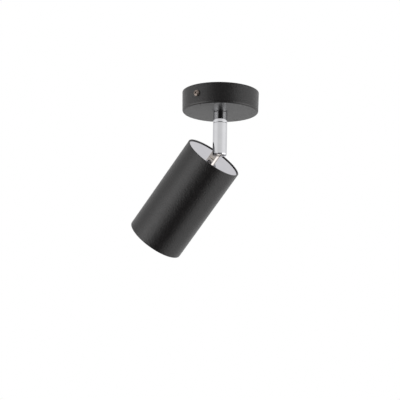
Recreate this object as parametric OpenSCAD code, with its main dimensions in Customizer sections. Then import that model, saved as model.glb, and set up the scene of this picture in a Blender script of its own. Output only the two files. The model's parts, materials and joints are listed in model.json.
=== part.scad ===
// Ceiling spotlight with a round canopy, a swivelling stem and a tilting tube head.
// The origin is the middle of the canopy's top face, on the ceiling. +Z points up.
// The head tilts about an axis along Y, and its mouth points down and towards -X.

/* [Canopy] */
// Diameter of the canopy at the ceiling
canopy_d = 80; // [78:0.5:110]
// Height of the canopy below the ceiling
canopy_h = 21.3; // [20:0.1:40]
// Sheet thickness of the canopy
canopy_t = 1; // [0.6:0.1:1.4]
// How much the wall's radius shrinks from the ceiling to the lower edge
canopy_draw = 0.4; // [0.1:0.1:1.5]
// Outer radius of the rounded lower edge
canopy_edge_r = 2; // [1.6:0.1:4]

/* [Ceiling bracket] */
// Width of the strap across its length
strap_w = 16; // [14:0.5:18]
// Sheet thickness of the strap, its ears and its tab
strap_t = 1.5; // [1:0.1:2]
// Width of the two ears that take the side screws
ear_w = 10; // [8:0.5:14]
// How far the ears hang below the ceiling
ear_drop = 14; // [13:0.5:16]
// Distance between the middles of the two ceiling screw slots
slot_spacing = 46; // [42:0.5:48]
// Length of a ceiling screw slot from end to end
slot_len = 12; // [8:0.5:13]
// Width of a ceiling screw slot
slot_w = 4.5; // [4:0.1:5.5]
// Diameter of the hole for the supply cable
cable_hole_d = 12; // [8:0.5:12.5]
// Depth of the side screws' axis below the ceiling
side_screw_depth = 9.8; // [9:0.1:10.5]
// Shank diameter of a side screw
side_screw_d = 4; // [3:0.1:4.2]
// Head diameter of a side screw
side_head_d = 6.8; // [6:0.1:8]
// Head height of a side screw
side_head_h = 2.2; // [1.6:0.1:3]

/* [Terminals] */
// Length of the terminal block along the strap
block_l = 24; // [23:0.5:30]
// Width of the terminal block
block_w = 14; // [12:0.5:16]
// Height of the terminal block
block_h = 11; // [10:0.5:13]
// Distance from one terminal to the next
pole_pitch = 8; // [7.6:0.1:8.5]
// Distance from the strap's centre to the earth screw
earth_screw_y = 12; // [11.5:0.5:13]
// Diameter of one insulated lead
lead_d = 1.5; // [1:0.1:1.6]

/* [Stem] */
// Diameter of the stem and of the swivel collar
stem_d = 14.8; // [14:0.1:17]
// Visible height of the swivel collar below the canopy
collar_h = 11.4; // [6:0.1:16]
// Thickness of the washer between collar and stem
swivel_washer_t = 0.4; // [0.3:0.1:1]
// Length of the stem below the washer
stem_len = 33.8; // [30:0.1:90]
// Diameter of the threaded tube that passes through the canopy
nipple_d = 10; // [9:0.1:11]
// Diameter of the collar's spigot inside the stem
spigot_d = 9.5; // [9.3:0.1:10]
// Length of the collar's spigot inside the stem
spigot_len = 12; // [10:0.5:14]
// Bore for the leads through the collar
lead_bore_d = 6; // [5.6:0.1:6.2]
// Height of the tilt axis above the stem's lower end
hinge_rise = 6.7; // [6:0.1:8]

/* [Hinge] */
// Angle of the head from straight down, as the object stands here
head_tilt = 43.6; // [0:0.1:90]
// Thickness of the hinge tongue between its two milled flats
tongue_t = 5.3; // [5:0.1:6]
// Diameter of the turned bar that the tongue is milled from
tongue_d = 9.9; // [9.7:0.1:10.6]
// Diameter of the hinge screw
hinge_screw_d = 3; // [2.4:0.1:3.2]
// Height of the round foot that is left below the flats
foot_h = 1; // [0.8:0.1:2.3]

/* [Head] */
// Outer diameter of the head tube
head_d = 62.4; // [60:0.1:80]
// Length of the head tube
head_len = 110; // [95:0.5:160]
// Wall thickness of the head tube
head_wall = 1; // [0.8:0.1:1.2]
// Width of the rim around the chrome cap
rim_w = 1.5; // [1.4:0.1:2.5]
// Depth of the chrome cap below the rim
cap_recess = 0.9; // [0.6:0.1:2]
// Thickness of the chrome cap
cap_t = 2; // [1:0.1:3]
// Distance from the tilt axis to the rim
rim_drop = 11.2; // [10.9:0.1:14]
// Diameter of the threaded tube under the tongue
stud_d = 8; // [7.6:0.1:8.4]

/* [Lampholder and lamp] */
// Width of the lampholder
holder_w = 18; // [17:0.5:20]
// Length of the lampholder
holder_l = 34; // [32:0.5:38]
// Height of the lampholder
holder_h = 17; // [15:0.5:20]
// Distance between the lamp's two contact pins
pin_pitch = 10; // [10:0.1:10.4]
// Diameter of the lamp at its front
lamp_d = 50; // [48:0.5:51]
// Length of the lamp from the lampholder to its front
lamp_len = 46.5; // [44:0.5:55]
// Turn of the lamp from its locked place to where its pins come out
lamp_turn = 30; // [25:1:35]

/* [Hidden] */
$fn = 96;

// Gaps between pieces
fit_gap = 0.05;
loose_gap = 0.3;
hole_gap = 0.2;
slide_gap = 0.1;
// How far a cutting shape passes the face that it cuts
cut = 1;

// Canopy
canopy_hole_d = nipple_d + 2 * slide_gap;
canopy_wall_h = canopy_h - canopy_edge_r;
function canopy_r(depth) = canopy_d / 2 - canopy_draw * min(depth, canopy_wall_h) / canopy_wall_h;

// Ceiling bracket
ear_y = sqrt(pow(canopy_r(ear_drop) - canopy_t, 2) - pow(ear_w / 2, 2)) - loose_gap;
side_shank_len = 7;

// Terminals
block_gap = 1;
block_x = strap_w / 2 + block_gap + block_w / 2;
block_z = -strap_t - block_h / 2;
sleeve_d = 4.2;
sleeve_bore_d = lead_d + 0.8;
sleeve_len = block_w - 1;
terminal_screw_d = 2.6;
terminal_screw_x = 3.6;
block_screw_d = 2.5;
block_screw_head_d = 4;
block_screw_head_h = 1.4;
terminal_screw_sink = 0.4;
tab_l = block_gap + block_w;
tab_w = block_l - 6;
earth_screw_d = 4;
earth_head_d = 7;
earth_head_h = 2.4;
tag_t = 0.8;
tag_d = 8;
tag_neck_l = 0.4;
barrel_r = 1.3;
barrel_l = 3.4;
barrel_start = -earth_screw_y + tag_d / 2 + tag_neck_l;
cup_washer_t = 0.8;
cup_washer_d = 7.6;

// Swivel
collar_top = -canopy_h;
collar_bottom = collar_top - collar_h;
stem_top = collar_bottom - swivel_washer_t;
stem_bottom = stem_top - stem_len;
locknut_t = 3;
locknut_flats = 14;
nipple_washer_t = 0.8;
nipple_washer_d = 15;
nipple_washer_teeth = 16;
nut_overhang = 1.2;
nipple_top = collar_top + canopy_t + nipple_washer_t + locknut_t + nut_overhang;
stem_bore_d = spigot_d + 2 * fit_gap;
spigot_bottom = collar_bottom - spigot_len;
groove_w = 2.2;
groove_depth = 1;
groove_drop = 7;
groove_z = collar_bottom - groove_drop;
spigot_end_gap = 0.6;
set_screw_d = 3;
set_tip_d = 1.6;
set_tip_r = spigot_d / 2 - groove_depth + loose_gap;
stop_pin_d = 1;
edge_bevel = 0.5;

// Hinge
hinge_z = stem_bottom + hinge_rise;
slot_gap_w = tongue_t + 2 * slide_gap;
pocket_r = tongue_d / 2 + 0.35;
wire_bore_d = lead_bore_d + 0.4;
hinge_head_d = 6;
hinge_head_h = 1.9;
hinge_washer_t = 0.5;
hinge_cheek_t = 1.75;
hinge_seat_y = slot_gap_w / 2 + hinge_cheek_t;
hinge_blind_t = 1.5;
hinge_tip_y = -stem_d / 2 + hinge_blind_t;
lead_side = lead_d / 2 + slide_gap;
lead_x = -(hinge_screw_d / 2 + 2 * fit_gap + 0.5 + lead_d / 2);

// Head, measured down from the tilt axis along the head's own axis
cap_top = -rim_drop - cap_recess;
cap_bottom = cap_top - cap_t;
foot_top = cap_top + foot_h;
head_in_d = head_d - 2 * head_wall;
cap_d = head_in_d - 0.2;
mouth_z = -rim_drop - head_len;
rim_bevel = 0.3;
snap_wire_d = 1;
snap_groove_depth = 0.35;
snap_gap_angle = 24;
holder_sheet = 1;
web_bottom = cap_bottom - holder_sheet;
stud_washer_t = 0.7;
stud_washer_d = 13;
stud_washer_teeth = 14;
stud_nut_t = 4;
stud_nut_flats = 13;
stud_nut_top = web_bottom - stud_washer_t;
stud_end = 0.8;
stud_bottom = stud_nut_top - stud_nut_t - stud_end;
stud_bore_d = lead_bore_d;
web_half = 9;
web_w = 14;
bracket_leg_h = 11;
feet_top = web_bottom - bracket_leg_h;
holder_top = feet_top - holder_sheet;
holder_face = holder_top - holder_h;
holder_screw_inset = 4;
holder_screw_y = holder_l / 2 - holder_screw_inset;
holder_screw_d = 3;
holder_head_d = 5.2;
holder_head_h = 2;
holder_screw_sink = 0.4;
holder_screw_end = 1.5;
lip_t = 2.5;

// Lamp
pin_neck_r = 1.5;
pin_head_r = 2.4;
pin_neck_l = 3.3;
pin_head_l = 3.4;
lamp_top = holder_face - loose_gap;
lamp_front = lamp_top - lamp_len;
pin_end = lamp_top + pin_neck_l + pin_head_l;
base_r = 13.3;
base_neck_r = 12;
pin_root = 3;
base_len = 21;
base_collar_len = 12;
shell_t = 1.2;
shell_top = lamp_top - base_collar_len;
lamp_rim_h = 6;
board_t = 1.6;
board_r = 11.5;
emitter_r = 4.2;
emitter_h = 1.2;
lens_t = 2;
lens_recess = 0.6;
contact_t = 0.8;
contact_r = 2.4;
post_r = 0.8;
post_sink = 2;

// A sheet colour for each finish
black_paint = "#232325";
chrome_plate = "#d8dade";
satin_nickel = "#a9a6a1";
zinc_steel = "#b9bcc0";
brass = "#c9a75a";
white_ceramic = "#ece9e1";
lead_brown = "#6b3f24";

module ring(outer_d, inner_d, h) {
    difference() {
        cylinder(d = outer_d, h = h);
        translate([0, 0, -cut]) cylinder(d = inner_d, h = h + 2 * cut);
    }
}

// A hexagonal nut, standing on z = 0
module hex_nut(flats, bore_d, h) {
    difference() {
        cylinder(d = flats / cos(30), h = h, $fn = 6);
        translate([0, 0, -cut]) cylinder(d = bore_d, h = h + 2 * cut, $fn = 48);
    }
}

// A cross recess, sunk from z = 0 downwards
module cross_recess(arm_l, arm_w, depth) {
    for (turn = [0, 90])
        rotate([0, 0, turn])
            translate([-arm_l / 2, -arm_w / 2, -depth]) cube([arm_l, arm_w, depth + cut]);
}

// A screw along +Z, with its head's underside on z = 0 and its shank below
module pan_screw(d, len, head_d, head_h) {
    edge_h = 0.55 * head_h;
    crown_d = 0.72 * head_d;
    arm_l = 0.54 * head_d;
    arm_w = 0.13 * head_d;
    recess_depth = 0.55 * head_h;
    difference() {
        union() {
            translate([0, 0, -len]) cylinder(d = d, h = len + edge_h, $fn = 48);
            cylinder(d = head_d, h = edge_h);
            translate([0, 0, edge_h]) cylinder(d1 = head_d, d2 = crown_d, h = head_h - edge_h);
        }
        translate([0, 0, head_h]) cross_recess(arm_l, arm_w, recess_depth);
    }
}

// A turned bar with bevelled ends, from z = 0 upwards
module bevelled_bar(d, h, bevel) {
    rotate_extrude()
        polygon([[0, 0], [d / 2 - bevel, 0], [d / 2, bevel], [d / 2, h - bevel], [d / 2 - bevel, h], [0, h]]);
}

// Route of a lead: a smooth curve through its points
function between(p0, p1, p2, p3, t) =
    0.5 * (2 * p1 + (p2 - p0) * t + (2 * p0 - 5 * p1 + 4 * p2 - p3) * t * t
    + (3 * p1 - p0 - 3 * p2 + p3) * t * t * t);
function route(points, steps) = concat(
    [for (i = [0 : len(points) - 2], s = [0 : steps - 1])
        between(points[max(i - 1, 0)], points[i], points[i + 1],
            points[min(i + 2, len(points) - 1)], s / steps)],
    [points[len(points) - 1]]);
function unit(v) = v / norm(v);
function heading(path, i) = unit(path[min(i + 1, len(path) - 1)] - path[max(i - 1, 0)]);

// A lead swept along a route, with flat ends
module swept_lead(points, steps = 3, sides = 8) {
    path = route(points, steps);
    rings = len(path);
    spin = [0.36, 0.93, 0.08];
    skin = [for (i = [0 : rings - 1], s = [0 : sides - 1])
        let (along = heading(path, i), side = unit(cross(along, spin)), over = cross(side, along))
            path[i] + lead_d / 2 * (cos(360 * s / sides) * side + sin(360 * s / sides) * over)];
    walls = [for (i = [0 : rings - 2], s = [0 : sides - 1], half = [0, 1])
        let (a = i * sides + s, b = i * sides + (s + 1) % sides)
            half == 0 ? [a, b, b + sides] : [a, b + sides, a + sides]];
    first_end = [for (s = [sides - 1 : -1 : 0]) s];
    last_end = [for (s = [0 : sides - 1]) (rings - 1) * sides + s];
    polyhedron(points = skin, faces = concat([first_end, last_end], walls));
}

module in_head() {
    translate([0, 0, hinge_z]) rotate([0, head_tilt, 0]) children();
}

module canopy_cover() {
    arc_steps = 8;
    outer_low = canopy_r(canopy_h);
    outer_arc = [for (i = [0 : arc_steps])
        [outer_low - canopy_edge_r + canopy_edge_r * cos(90 * i / arc_steps),
            -canopy_wall_h - canopy_edge_r * sin(90 * i / arc_steps)]];
    inner_r = canopy_edge_r - canopy_t;
    inner_arc = [for (i = [arc_steps : -1 : 0])
        [outer_low - canopy_edge_r + inner_r * cos(90 * i / arc_steps),
            -canopy_wall_h - inner_r * sin(90 * i / arc_steps)]];
    color(black_paint) difference() {
        rotate_extrude($fn = 144)
            polygon(concat([[canopy_d / 2, 0]], outer_arc,
                [[canopy_hole_d / 2, -canopy_h], [canopy_hole_d / 2, -canopy_h + canopy_t]],
                inner_arc, [[canopy_d / 2 - canopy_t, 0]]));
        for (side = [-1, 1])
            translate([0, side * (canopy_d / 2 - canopy_draw - canopy_t - cut), -side_screw_depth])
                rotate([-90 * side, 0, 0])
                    cylinder(d = side_screw_d + 2 * hole_gap, h = canopy_draw + canopy_t + 2 * cut);
    }
}

module mounting_bracket() {
    color(zinc_steel) difference() {
        union() {
            translate([-strap_w / 2, -ear_y, -strap_t]) cube([strap_w, 2 * ear_y, strap_t]);
            for (side = [-1, 1])
                translate([-ear_w / 2, side > 0 ? ear_y - strap_t : -ear_y, -ear_drop])
                    cube([ear_w, strap_t, ear_drop]);
            translate([0, -tab_w / 2, -strap_t]) cube([strap_w / 2 + tab_l, tab_w, strap_t]);
        }
        translate([0, 0, -strap_t - cut]) cylinder(d = cable_hole_d, h = strap_t + 2 * cut);
        for (side = [-1, 1])
            translate([0, side * slot_spacing / 2, -strap_t - cut]) ceiling_slot();
        for (side = [-1, 1])
            translate([0, side * (ear_y - strap_t - cut), -side_screw_depth])
                rotate([-90 * side, 0, 0])
                    cylinder(d = side_screw_d + 2 * fit_gap, h = strap_t + 2 * cut, $fn = 48);
        translate([0, -earth_screw_y, -strap_t - cut])
            cylinder(d = earth_screw_d + 2 * fit_gap, h = strap_t + 2 * cut, $fn = 48);
        for (side = [-1, 1])
            translate([block_x, side * pole_pitch / 2, -strap_t - cut])
                cylinder(d = block_screw_d + 2 * fit_gap, h = strap_t + 2 * cut, $fn = 32);
    }
}

// A slot with round ends that runs along Y
module ceiling_slot() {
    straight = slot_len - slot_w;
    through = strap_t + 2 * cut;
    for (end = [-1, 1])
        translate([0, end * straight / 2, 0]) cylinder(d = slot_w, h = through, $fn = 48);
    translate([-slot_w / 2, -straight / 2, 0]) cube([slot_w, straight, through]);
}

module canopy_side_screws() {
    seat = canopy_r(side_screw_depth - side_head_d / 2) + fit_gap;
    color(satin_nickel) for (side = [-1, 1])
        translate([0, side * seat, -side_screw_depth])
            rotate([-90 * side, 0, 0])
                pan_screw(side_screw_d, side_shank_len, side_head_d, side_head_h);
}

module terminal_block() {
    color(white_ceramic) difference() {
        translate([block_x - block_w / 2, -block_l / 2, -strap_t - block_h])
            cube([block_w, block_l, block_h]);
        for (pole = [-1 : 1]) {
            translate([block_x - block_w / 2 - cut, pole * pole_pitch, block_z])
                rotate([0, 90, 0])
                    cylinder(d = sleeve_d + 2 * fit_gap, h = block_w + 2 * cut, $fn = 48);
            for (end = [-1, 1])
                translate([block_x + end * terminal_screw_x, pole * pole_pitch, -strap_t - block_h - cut])
                    cylinder(d = terminal_screw_d + 2 * loose_gap, h = block_h / 2 + cut, $fn = 32);
        }
        for (side = [-1, 1])
            translate([block_x, side * pole_pitch / 2, -strap_t - block_h - cut])
                cylinder(d = block_screw_d + 2 * fit_gap, h = block_h + 2 * cut, $fn = 32);
    }
}

module terminal_sleeves() {
    color(brass) for (pole = [-1 : 1])
        difference() {
            translate([block_x - sleeve_len / 2, pole * pole_pitch, block_z])
                rotate([0, 90, 0]) ring(sleeve_d, sleeve_bore_d, sleeve_len);
            for (end = [-1, 1])
                translate([block_x + end * terminal_screw_x, pole * pole_pitch, block_z - sleeve_d])
                    cylinder(d = terminal_screw_d + 2 * fit_gap, h = sleeve_d, $fn = 32);
        }
}

module terminal_screws() {
    tip = block_z - lead_d / 2 - fit_gap;
    low = -strap_t - block_h + terminal_screw_sink;
    slit_w = 0.5;
    slit_depth = 0.6;
    color(zinc_steel) for (pole = [-1 : 1], end = [-1, 1])
        translate([block_x + end * terminal_screw_x, pole * pole_pitch, low])
            difference() {
                cylinder(d = terminal_screw_d, h = tip - low, $fn = 32);
                translate([-terminal_screw_d, -slit_w / 2, -cut])
                    cube([2 * terminal_screw_d, slit_w, slit_depth + cut]);
            }
}

module terminal_block_screws() {
    color(zinc_steel) for (side = [-1, 1])
        translate([block_x, side * pole_pitch / 2, -strap_t - block_h])
            rotate([180, 0, 0])
                pan_screw(
                    block_screw_d, block_h + strap_t - loose_gap, block_screw_head_d, block_screw_head_h);
}

module earth_screw() {
    color(brass) translate([0, -earth_screw_y, -strap_t - tag_t - cup_washer_t])
        rotate([180, 0, 0])
            pan_screw(
                earth_screw_d, strap_t + tag_t + cup_washer_t - loose_gap, earth_head_d, earth_head_h);
}

module earth_washer() {
    color(brass) translate([0, -earth_screw_y, -strap_t - tag_t - cup_washer_t])
        ring(cup_washer_d, earth_screw_d + 2 * fit_gap, cup_washer_t);
}

// A ring of sheet with a crimped barrel that points to the middle of the strap
module earth_ring_tag() {
    neck_end = barrel_start + tag_t;
    color(zinc_steel) difference() {
        union() {
            translate([0, -earth_screw_y, -strap_t - tag_t]) cylinder(d = tag_d, h = tag_t);
            translate([-barrel_r, -earth_screw_y, -strap_t - tag_t])
                cube([2 * barrel_r, neck_end + earth_screw_y, tag_t]);
            translate([0, barrel_start, -strap_t - barrel_r])
                rotate([-90, 0, 0]) cylinder(r = barrel_r, h = barrel_l);
        }
        translate([0, -earth_screw_y, -strap_t - tag_t - cut])
            cylinder(d = earth_screw_d + 2 * fit_gap, h = tag_t + 2 * cut);
        translate([0, barrel_start - cut, -strap_t - barrel_r])
            rotate([-90, 0, 0]) cylinder(d = lead_d + 2 * fit_gap, h = barrel_l + 2 * cut);
    }
}

module earth_lead() {
    barrel_end = barrel_start + barrel_l;
    low = -strap_t - barrel_r;
    color("#7c9a3c") swept_lead([
        [0, barrel_end - 2.4, low],
        [0, barrel_end, low],
        [0, barrel_end + 0.9, low],
        [2.8, barrel_end + 1.7, low - 0.6],
        [block_x - block_w / 2 - 1.5, 0, (low + block_z) / 2],
        [block_x - block_w / 2 + 0.4, 0, block_z],
        [block_x - block_w / 2 + 1.8, 0, block_z],
        [block_x - 1.5, 0, block_z]]);
}

module canopy_leads() {
    color(lead_brown) for (side = [-1, 1])
        swept_lead([
            [block_x - 1.5, side * pole_pitch, block_z],
            [block_x - block_w / 2 - 0.5, side * pole_pitch, block_z],
            [5, side * pole_pitch * 0.55, block_z - 0.8],
            [1.2, side * (lead_side + 0.7), block_z - 3.4],
            [0, side * lead_side, nipple_top - 1],
            [0, side * lead_side, (nipple_top + collar_bottom) / 2],
            [0, side * lead_side, collar_bottom]]);
}

module canopy_locknut() {
    color(zinc_steel) translate([0, 0, collar_top + canopy_t + nipple_washer_t])
        hex_nut(locknut_flats, nipple_d + 2 * fit_gap, locknut_t);
}

// A toothed washer: notches all round its edge
module toothed_washer(outer_d, inner_d, h, teeth) {
    notch_depth = 1.1;
    notch_w = 1;
    difference() {
        ring(outer_d, inner_d, h);
        for (i = [0 : teeth - 1])
            rotate([0, 0, 360 * i / teeth])
                translate([outer_d / 2 - notch_depth, -notch_w / 2, -cut])
                    cube([notch_depth + cut, notch_w, h + 2 * cut]);
    }
}

module canopy_lock_washer() {
    color(zinc_steel) translate([0, 0, collar_top + canopy_t])
        toothed_washer(nipple_washer_d, nipple_d + 2 * fit_gap, nipple_washer_t, nipple_washer_teeth);
}

module swivel_collar() {
    color(chrome_plate) difference() {
        union() {
            translate([0, 0, collar_bottom]) bevelled_bar(stem_d, collar_h, edge_bevel);
            translate([0, 0, collar_top - cut])
                cylinder(d = nipple_d, h = nipple_top - collar_top + cut);
            translate([0, 0, spigot_bottom])
                cylinder(d = spigot_d, h = spigot_len + cut);
        }
        translate([0, 0, spigot_bottom - cut])
            cylinder(d = lead_bore_d, h = nipple_top - spigot_bottom + 2 * cut);
        translate([0, 0, groove_z - groove_w / 2])
            ring(spigot_d + 2 * cut, spigot_d - 2 * groove_depth, groove_w);
        translate([0, 0, groove_z]) rotate([0, 90, 0])
            cylinder(d = stop_pin_d + 2 * fit_gap, h = spigot_d, $fn = 32);
    }
}

// The pin stands in the collar's groove, opposite the set screw
module swivel_stop_pin() {
    inner = lead_bore_d / 2 + slide_gap;
    color(zinc_steel) translate([inner, 0, groove_z]) rotate([0, 90, 0])
        cylinder(d = stop_pin_d, h = spigot_d / 2 - slide_gap - inner, $fn = 32);
}

module swivel_washer() {
    color("#1b1b1c") translate([0, 0, stem_top])
        ring(stem_d - 2 * edge_bevel, spigot_d + 2 * slide_gap, swivel_washer_t);
}

module stem_tube() {
    pocket_top = hinge_z + pocket_r;
    below = hinge_rise + cut;
    color(chrome_plate) difference() {
        translate([0, 0, stem_bottom]) bevelled_bar(stem_d, stem_len, edge_bevel);
        translate([0, 0, spigot_bottom - spigot_end_gap])
            cylinder(d = stem_bore_d, h = stem_top - spigot_bottom + spigot_end_gap + cut);
        translate([0, 0, hinge_z])
            cylinder(d = wire_bore_d, h = spigot_bottom - hinge_z);
        translate([0, 0, groove_z]) rotate([0, -90, 0])
            cylinder(d = set_screw_d + 2 * fit_gap, h = stem_d, $fn = 32);
        translate([0, -slot_gap_w / 2, hinge_z]) rotate([-90, 0, 0])
            cylinder(r = pocket_r, h = slot_gap_w);
        translate([-stem_d, -slot_gap_w / 2, hinge_z]) cube([stem_d, slot_gap_w, pocket_top - hinge_z]);
        translate([-stem_d, -slot_gap_w / 2, hinge_z - below])
            cube([stem_d + pocket_r, slot_gap_w, below]);
        translate([0, 0, hinge_z]) rotate([-90, 0, 0])
            cylinder(d = hinge_screw_d + 2 * fit_gap, h = stem_d, $fn = 48);
        translate([0, hinge_tip_y - loose_gap, hinge_z]) rotate([-90, 0, 0])
            cylinder(d = hinge_screw_d + 2 * fit_gap, h = stem_d / 2, $fn = 48);
        translate([0, hinge_seat_y, hinge_z]) rotate([-90, 0, 0])
            cylinder(d = hinge_head_d + 2 * hole_gap, h = stem_d / 2);
    }
}

// A grub screw whose thin tip runs in the collar's groove
module swivel_set_screw() {
    body_start = stem_bore_d / 2 + 3 * fit_gap;
    body_end = stem_d / 2 - 0.45;
    socket_d = 1.5;
    socket_depth = 1;
    color("#3a3a3c") translate([0, 0, groove_z]) rotate([0, -90, 0])
        difference() {
            union() {
                translate([0, 0, body_start])
                    cylinder(d = set_screw_d, h = body_end - body_start, $fn = 48);
                translate([0, 0, set_tip_r])
                    cylinder(d = set_tip_d, h = body_end - socket_depth - set_tip_r, $fn = 32);
            }
            translate([0, 0, body_end - socket_depth])
                cylinder(d = socket_d, h = socket_depth + cut, $fn = 6);
        }
}

module hinge_screw() {
    seat = hinge_seat_y + hinge_washer_t;
    color(satin_nickel) translate([0, seat, hinge_z]) rotate([-90, 0, 0])
        pan_screw(hinge_screw_d, seat - hinge_tip_y, hinge_head_d, hinge_head_h);
}

module hinge_spring_washer() {
    color(zinc_steel) translate([0, hinge_seat_y, hinge_z]) rotate([-90, 0, 0])
        ring(hinge_head_d - 2 * slide_gap, hinge_screw_d + 2 * fit_gap, hinge_washer_t);
}

module stem_leads() {
    low = hinge_z + pocket_r;
    color(lead_brown) for (side = [-1, 1])
        swept_lead([
            [0, side * lead_side, collar_bottom - loose_gap],
            [0, side * lead_side, spigot_bottom],
            [-1.1, side * lead_side, (spigot_bottom + low) / 2],
            [1 - wire_bore_d / 2, side * lead_side, low]]);
}

module hinge_tongue() {
    web_out = hinge_screw_d / 2 + fit_gap + 0.5;
    channel_w = 2 * lead_d + 4 * slide_gap;
    screw_pass_z = -2.6;
    floor_x = -1.1;
    cover_t = 1.2;
    step_h = 1;
    foot_bevel = 0.2;
    end_r = tongue_d / 2;
    ball_end = [for (angle = [0 : 7.5 : 90]) end_r * [cos(angle), sin(angle)]];
    foot = [[0, cap_top], [end_r - foot_bevel, cap_top], [end_r, cap_top + foot_bevel]];
    color(satin_nickel) in_head() difference() {
        union() {
            rotate_extrude() polygon(concat(foot, ball_end));
            translate([0, 0, stud_bottom]) cylinder(d = stud_d, h = cap_top - stud_bottom + cut);
        }
        for (side = [0, 1]) mirror([0, side, 0])
            translate([-tongue_d, tongue_t / 2, foot_top]) cube([2 * tongue_d, tongue_d, tongue_d - foot_top]);
        translate([0, -tongue_t, 0]) rotate([-90, 0, 0])
            cylinder(d = hinge_screw_d + 2 * fit_gap, h = 2 * tongue_t, $fn = 48);
        translate([0, 0, stud_bottom - cut])
            cylinder(d = stud_bore_d, h = foot_top - cover_t - stud_bottom + cut);
        translate([-tongue_d, -channel_w / 2, screw_pass_z])
            cube([tongue_d - web_out, channel_w, tongue_d]);
        translate([-tongue_d, -channel_w / 2, foot_top + step_h])
            cube([tongue_d + floor_x, channel_w, screw_pass_z - foot_top]);
        translate([-stud_bore_d / 2, -channel_w / 2, foot_top - 2 * step_h])
            cube([stud_bore_d / 2 + floor_x, channel_w, 4 * step_h]);
    }
}

module head_cap() {
    color(chrome_plate) in_head() translate([0, 0, cap_bottom])
        ring(cap_d, stud_d + 2 * fit_gap, cap_t);
}

module housing_tube() {
    out = head_d / 2;
    in_r = head_in_d / 2;
    groove_top = cap_bottom + 0.05;
    groove_low = cap_bottom - snap_wire_d - 0.05;
    color(black_paint) in_head() rotate_extrude($fn = 144)
        polygon([
            [out - rim_w, -rim_drop], [out - rim_bevel, -rim_drop], [out, -rim_drop - rim_bevel],
            [out, mouth_z + rim_bevel], [out - rim_bevel, mouth_z], [in_r, mouth_z],
            [in_r, groove_low], [in_r + snap_groove_depth, groove_low],
            [in_r + snap_groove_depth, groove_top], [in_r, groove_top],
            [in_r, cap_top], [out - rim_w, cap_top]]);
}

module cap_snap_ring() {
    wire_r = snap_wire_d / 2;
    color(zinc_steel) in_head() translate([0, 0, cap_bottom - wire_r])
        rotate([0, 0, 90 + snap_gap_angle / 2]) rotate_extrude(angle = 360 - snap_gap_angle)
            translate([head_in_d / 2 + snap_groove_depth - 0.05 - wire_r, 0]) circle(r = wire_r, $fn = 24);
}

module tongue_lock_washer() {
    color(zinc_steel) in_head() translate([0, 0, stud_nut_top])
        toothed_washer(stud_washer_d, stud_d + 2 * fit_gap, stud_washer_t, stud_washer_teeth);
}

module tongue_locknut() {
    color(zinc_steel) in_head() translate([0, 0, stud_nut_top - stud_nut_t])
        hex_nut(stud_nut_flats, stud_d + 2 * fit_gap, stud_nut_t);
}

// A hat-shaped strap: its top is clamped under the cap and its feet carry the lampholder
module lampholder_bracket() {
    foot_w = holder_l / 2 - web_half + holder_sheet;
    color(zinc_steel) in_head() difference() {
        union() {
            translate([-web_w / 2, -web_half, web_bottom]) cube([web_w, 2 * web_half, holder_sheet]);
            for (side = [-1, 1]) {
                translate([-web_w / 2, side > 0 ? web_half - holder_sheet : -web_half, holder_top])
                    cube([web_w, holder_sheet, cap_bottom - holder_top]);
                translate([-web_w / 2, side > 0 ? web_half - holder_sheet : -holder_l / 2, holder_top])
                    cube([web_w, foot_w, holder_sheet]);
            }
        }
        translate([0, 0, web_bottom - cut]) cylinder(d = stud_d + 2 * fit_gap, h = holder_sheet + 2 * cut);
        for (side = [-1, 1])
            translate([0, side * holder_screw_y, holder_top - cut])
                cylinder(d = holder_screw_d + 2 * fit_gap, h = holder_sheet + 2 * cut, $fn = 32);
    }
}

// A slot of the given half width, from each pin's locked place to where it comes out
module pin_path(half_w, low, high) {
    chord = pin_pitch * sin(lamp_turn / 2);
    middle_r = pin_pitch / 2 * cos(lamp_turn / 2);
    for (start = [90, 270])
        rotate([0, 0, start - lamp_turn / 2]) translate([middle_r, 0, low]) {
            translate([-half_w, -chord / 2, 0]) cube([2 * half_w, chord, high - low]);
            for (end = [-1, 1])
                translate([0, end * chord / 2, 0]) cylinder(r = half_w, h = high - low, $fn = 48);
        }
}

module lampholder() {
    half_straight = holder_l / 2 - holder_w / 2;
    shelf = pin_end + contact_t + loose_gap;
    color(white_ceramic) in_head() difference() {
        union() {
            translate([-holder_w / 2, -half_straight, holder_face])
                cube([holder_w, 2 * half_straight, holder_h]);
            for (side = [-1, 1])
                translate([0, side * half_straight, holder_face]) cylinder(d = holder_w, h = holder_h);
        }
        pin_path(pin_neck_r + 2 * hole_gap, holder_face - cut, holder_face + lip_t + cut);
        for (start = [90, 270])
            rotate([0, 0, start - lamp_turn]) translate([pin_pitch / 2, 0, holder_face - cut])
                cylinder(r = pin_head_r + loose_gap, h = lip_t + 2 * cut, $fn = 48);
        pin_path(pin_head_r + 2 * hole_gap, holder_face + lip_t, shelf);
        for (side = [-1, 1]) {
            translate([0, side * pin_pitch / 2, shelf - cut])
                cylinder(r = post_r + slide_gap, h = holder_top - shelf + 2 * cut, $fn = 32);
            translate([0, side * holder_screw_y, holder_face - cut])
                cylinder(d = holder_screw_d + 2 * hole_gap, h = holder_h + 2 * cut, $fn = 32);
            translate([0, side * holder_screw_y, holder_face - cut])
                cylinder(
                    d = holder_head_d + 2 * loose_gap,
                    h = holder_head_h + holder_screw_sink + cut, $fn = 48);
        }
    }
}

module lampholder_contacts() {
    low = pin_end + slide_gap;
    color(brass) in_head() for (side = [-1, 1])
        translate([0, side * pin_pitch / 2, low]) {
            cylinder(r = contact_r, h = contact_t, $fn = 32);
            cylinder(r = post_r, h = holder_top - low - post_sink, $fn = 24);
        }
}

module lampholder_screws() {
    seat = holder_face + holder_head_h + holder_screw_sink;
    color(zinc_steel) in_head() for (side = [-1, 1])
        translate([0, side * holder_screw_y, seat]) rotate([180, 0, 0])
            pan_screw(holder_screw_d, feet_top + holder_screw_end - seat, holder_head_d, holder_head_h);
}

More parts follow.
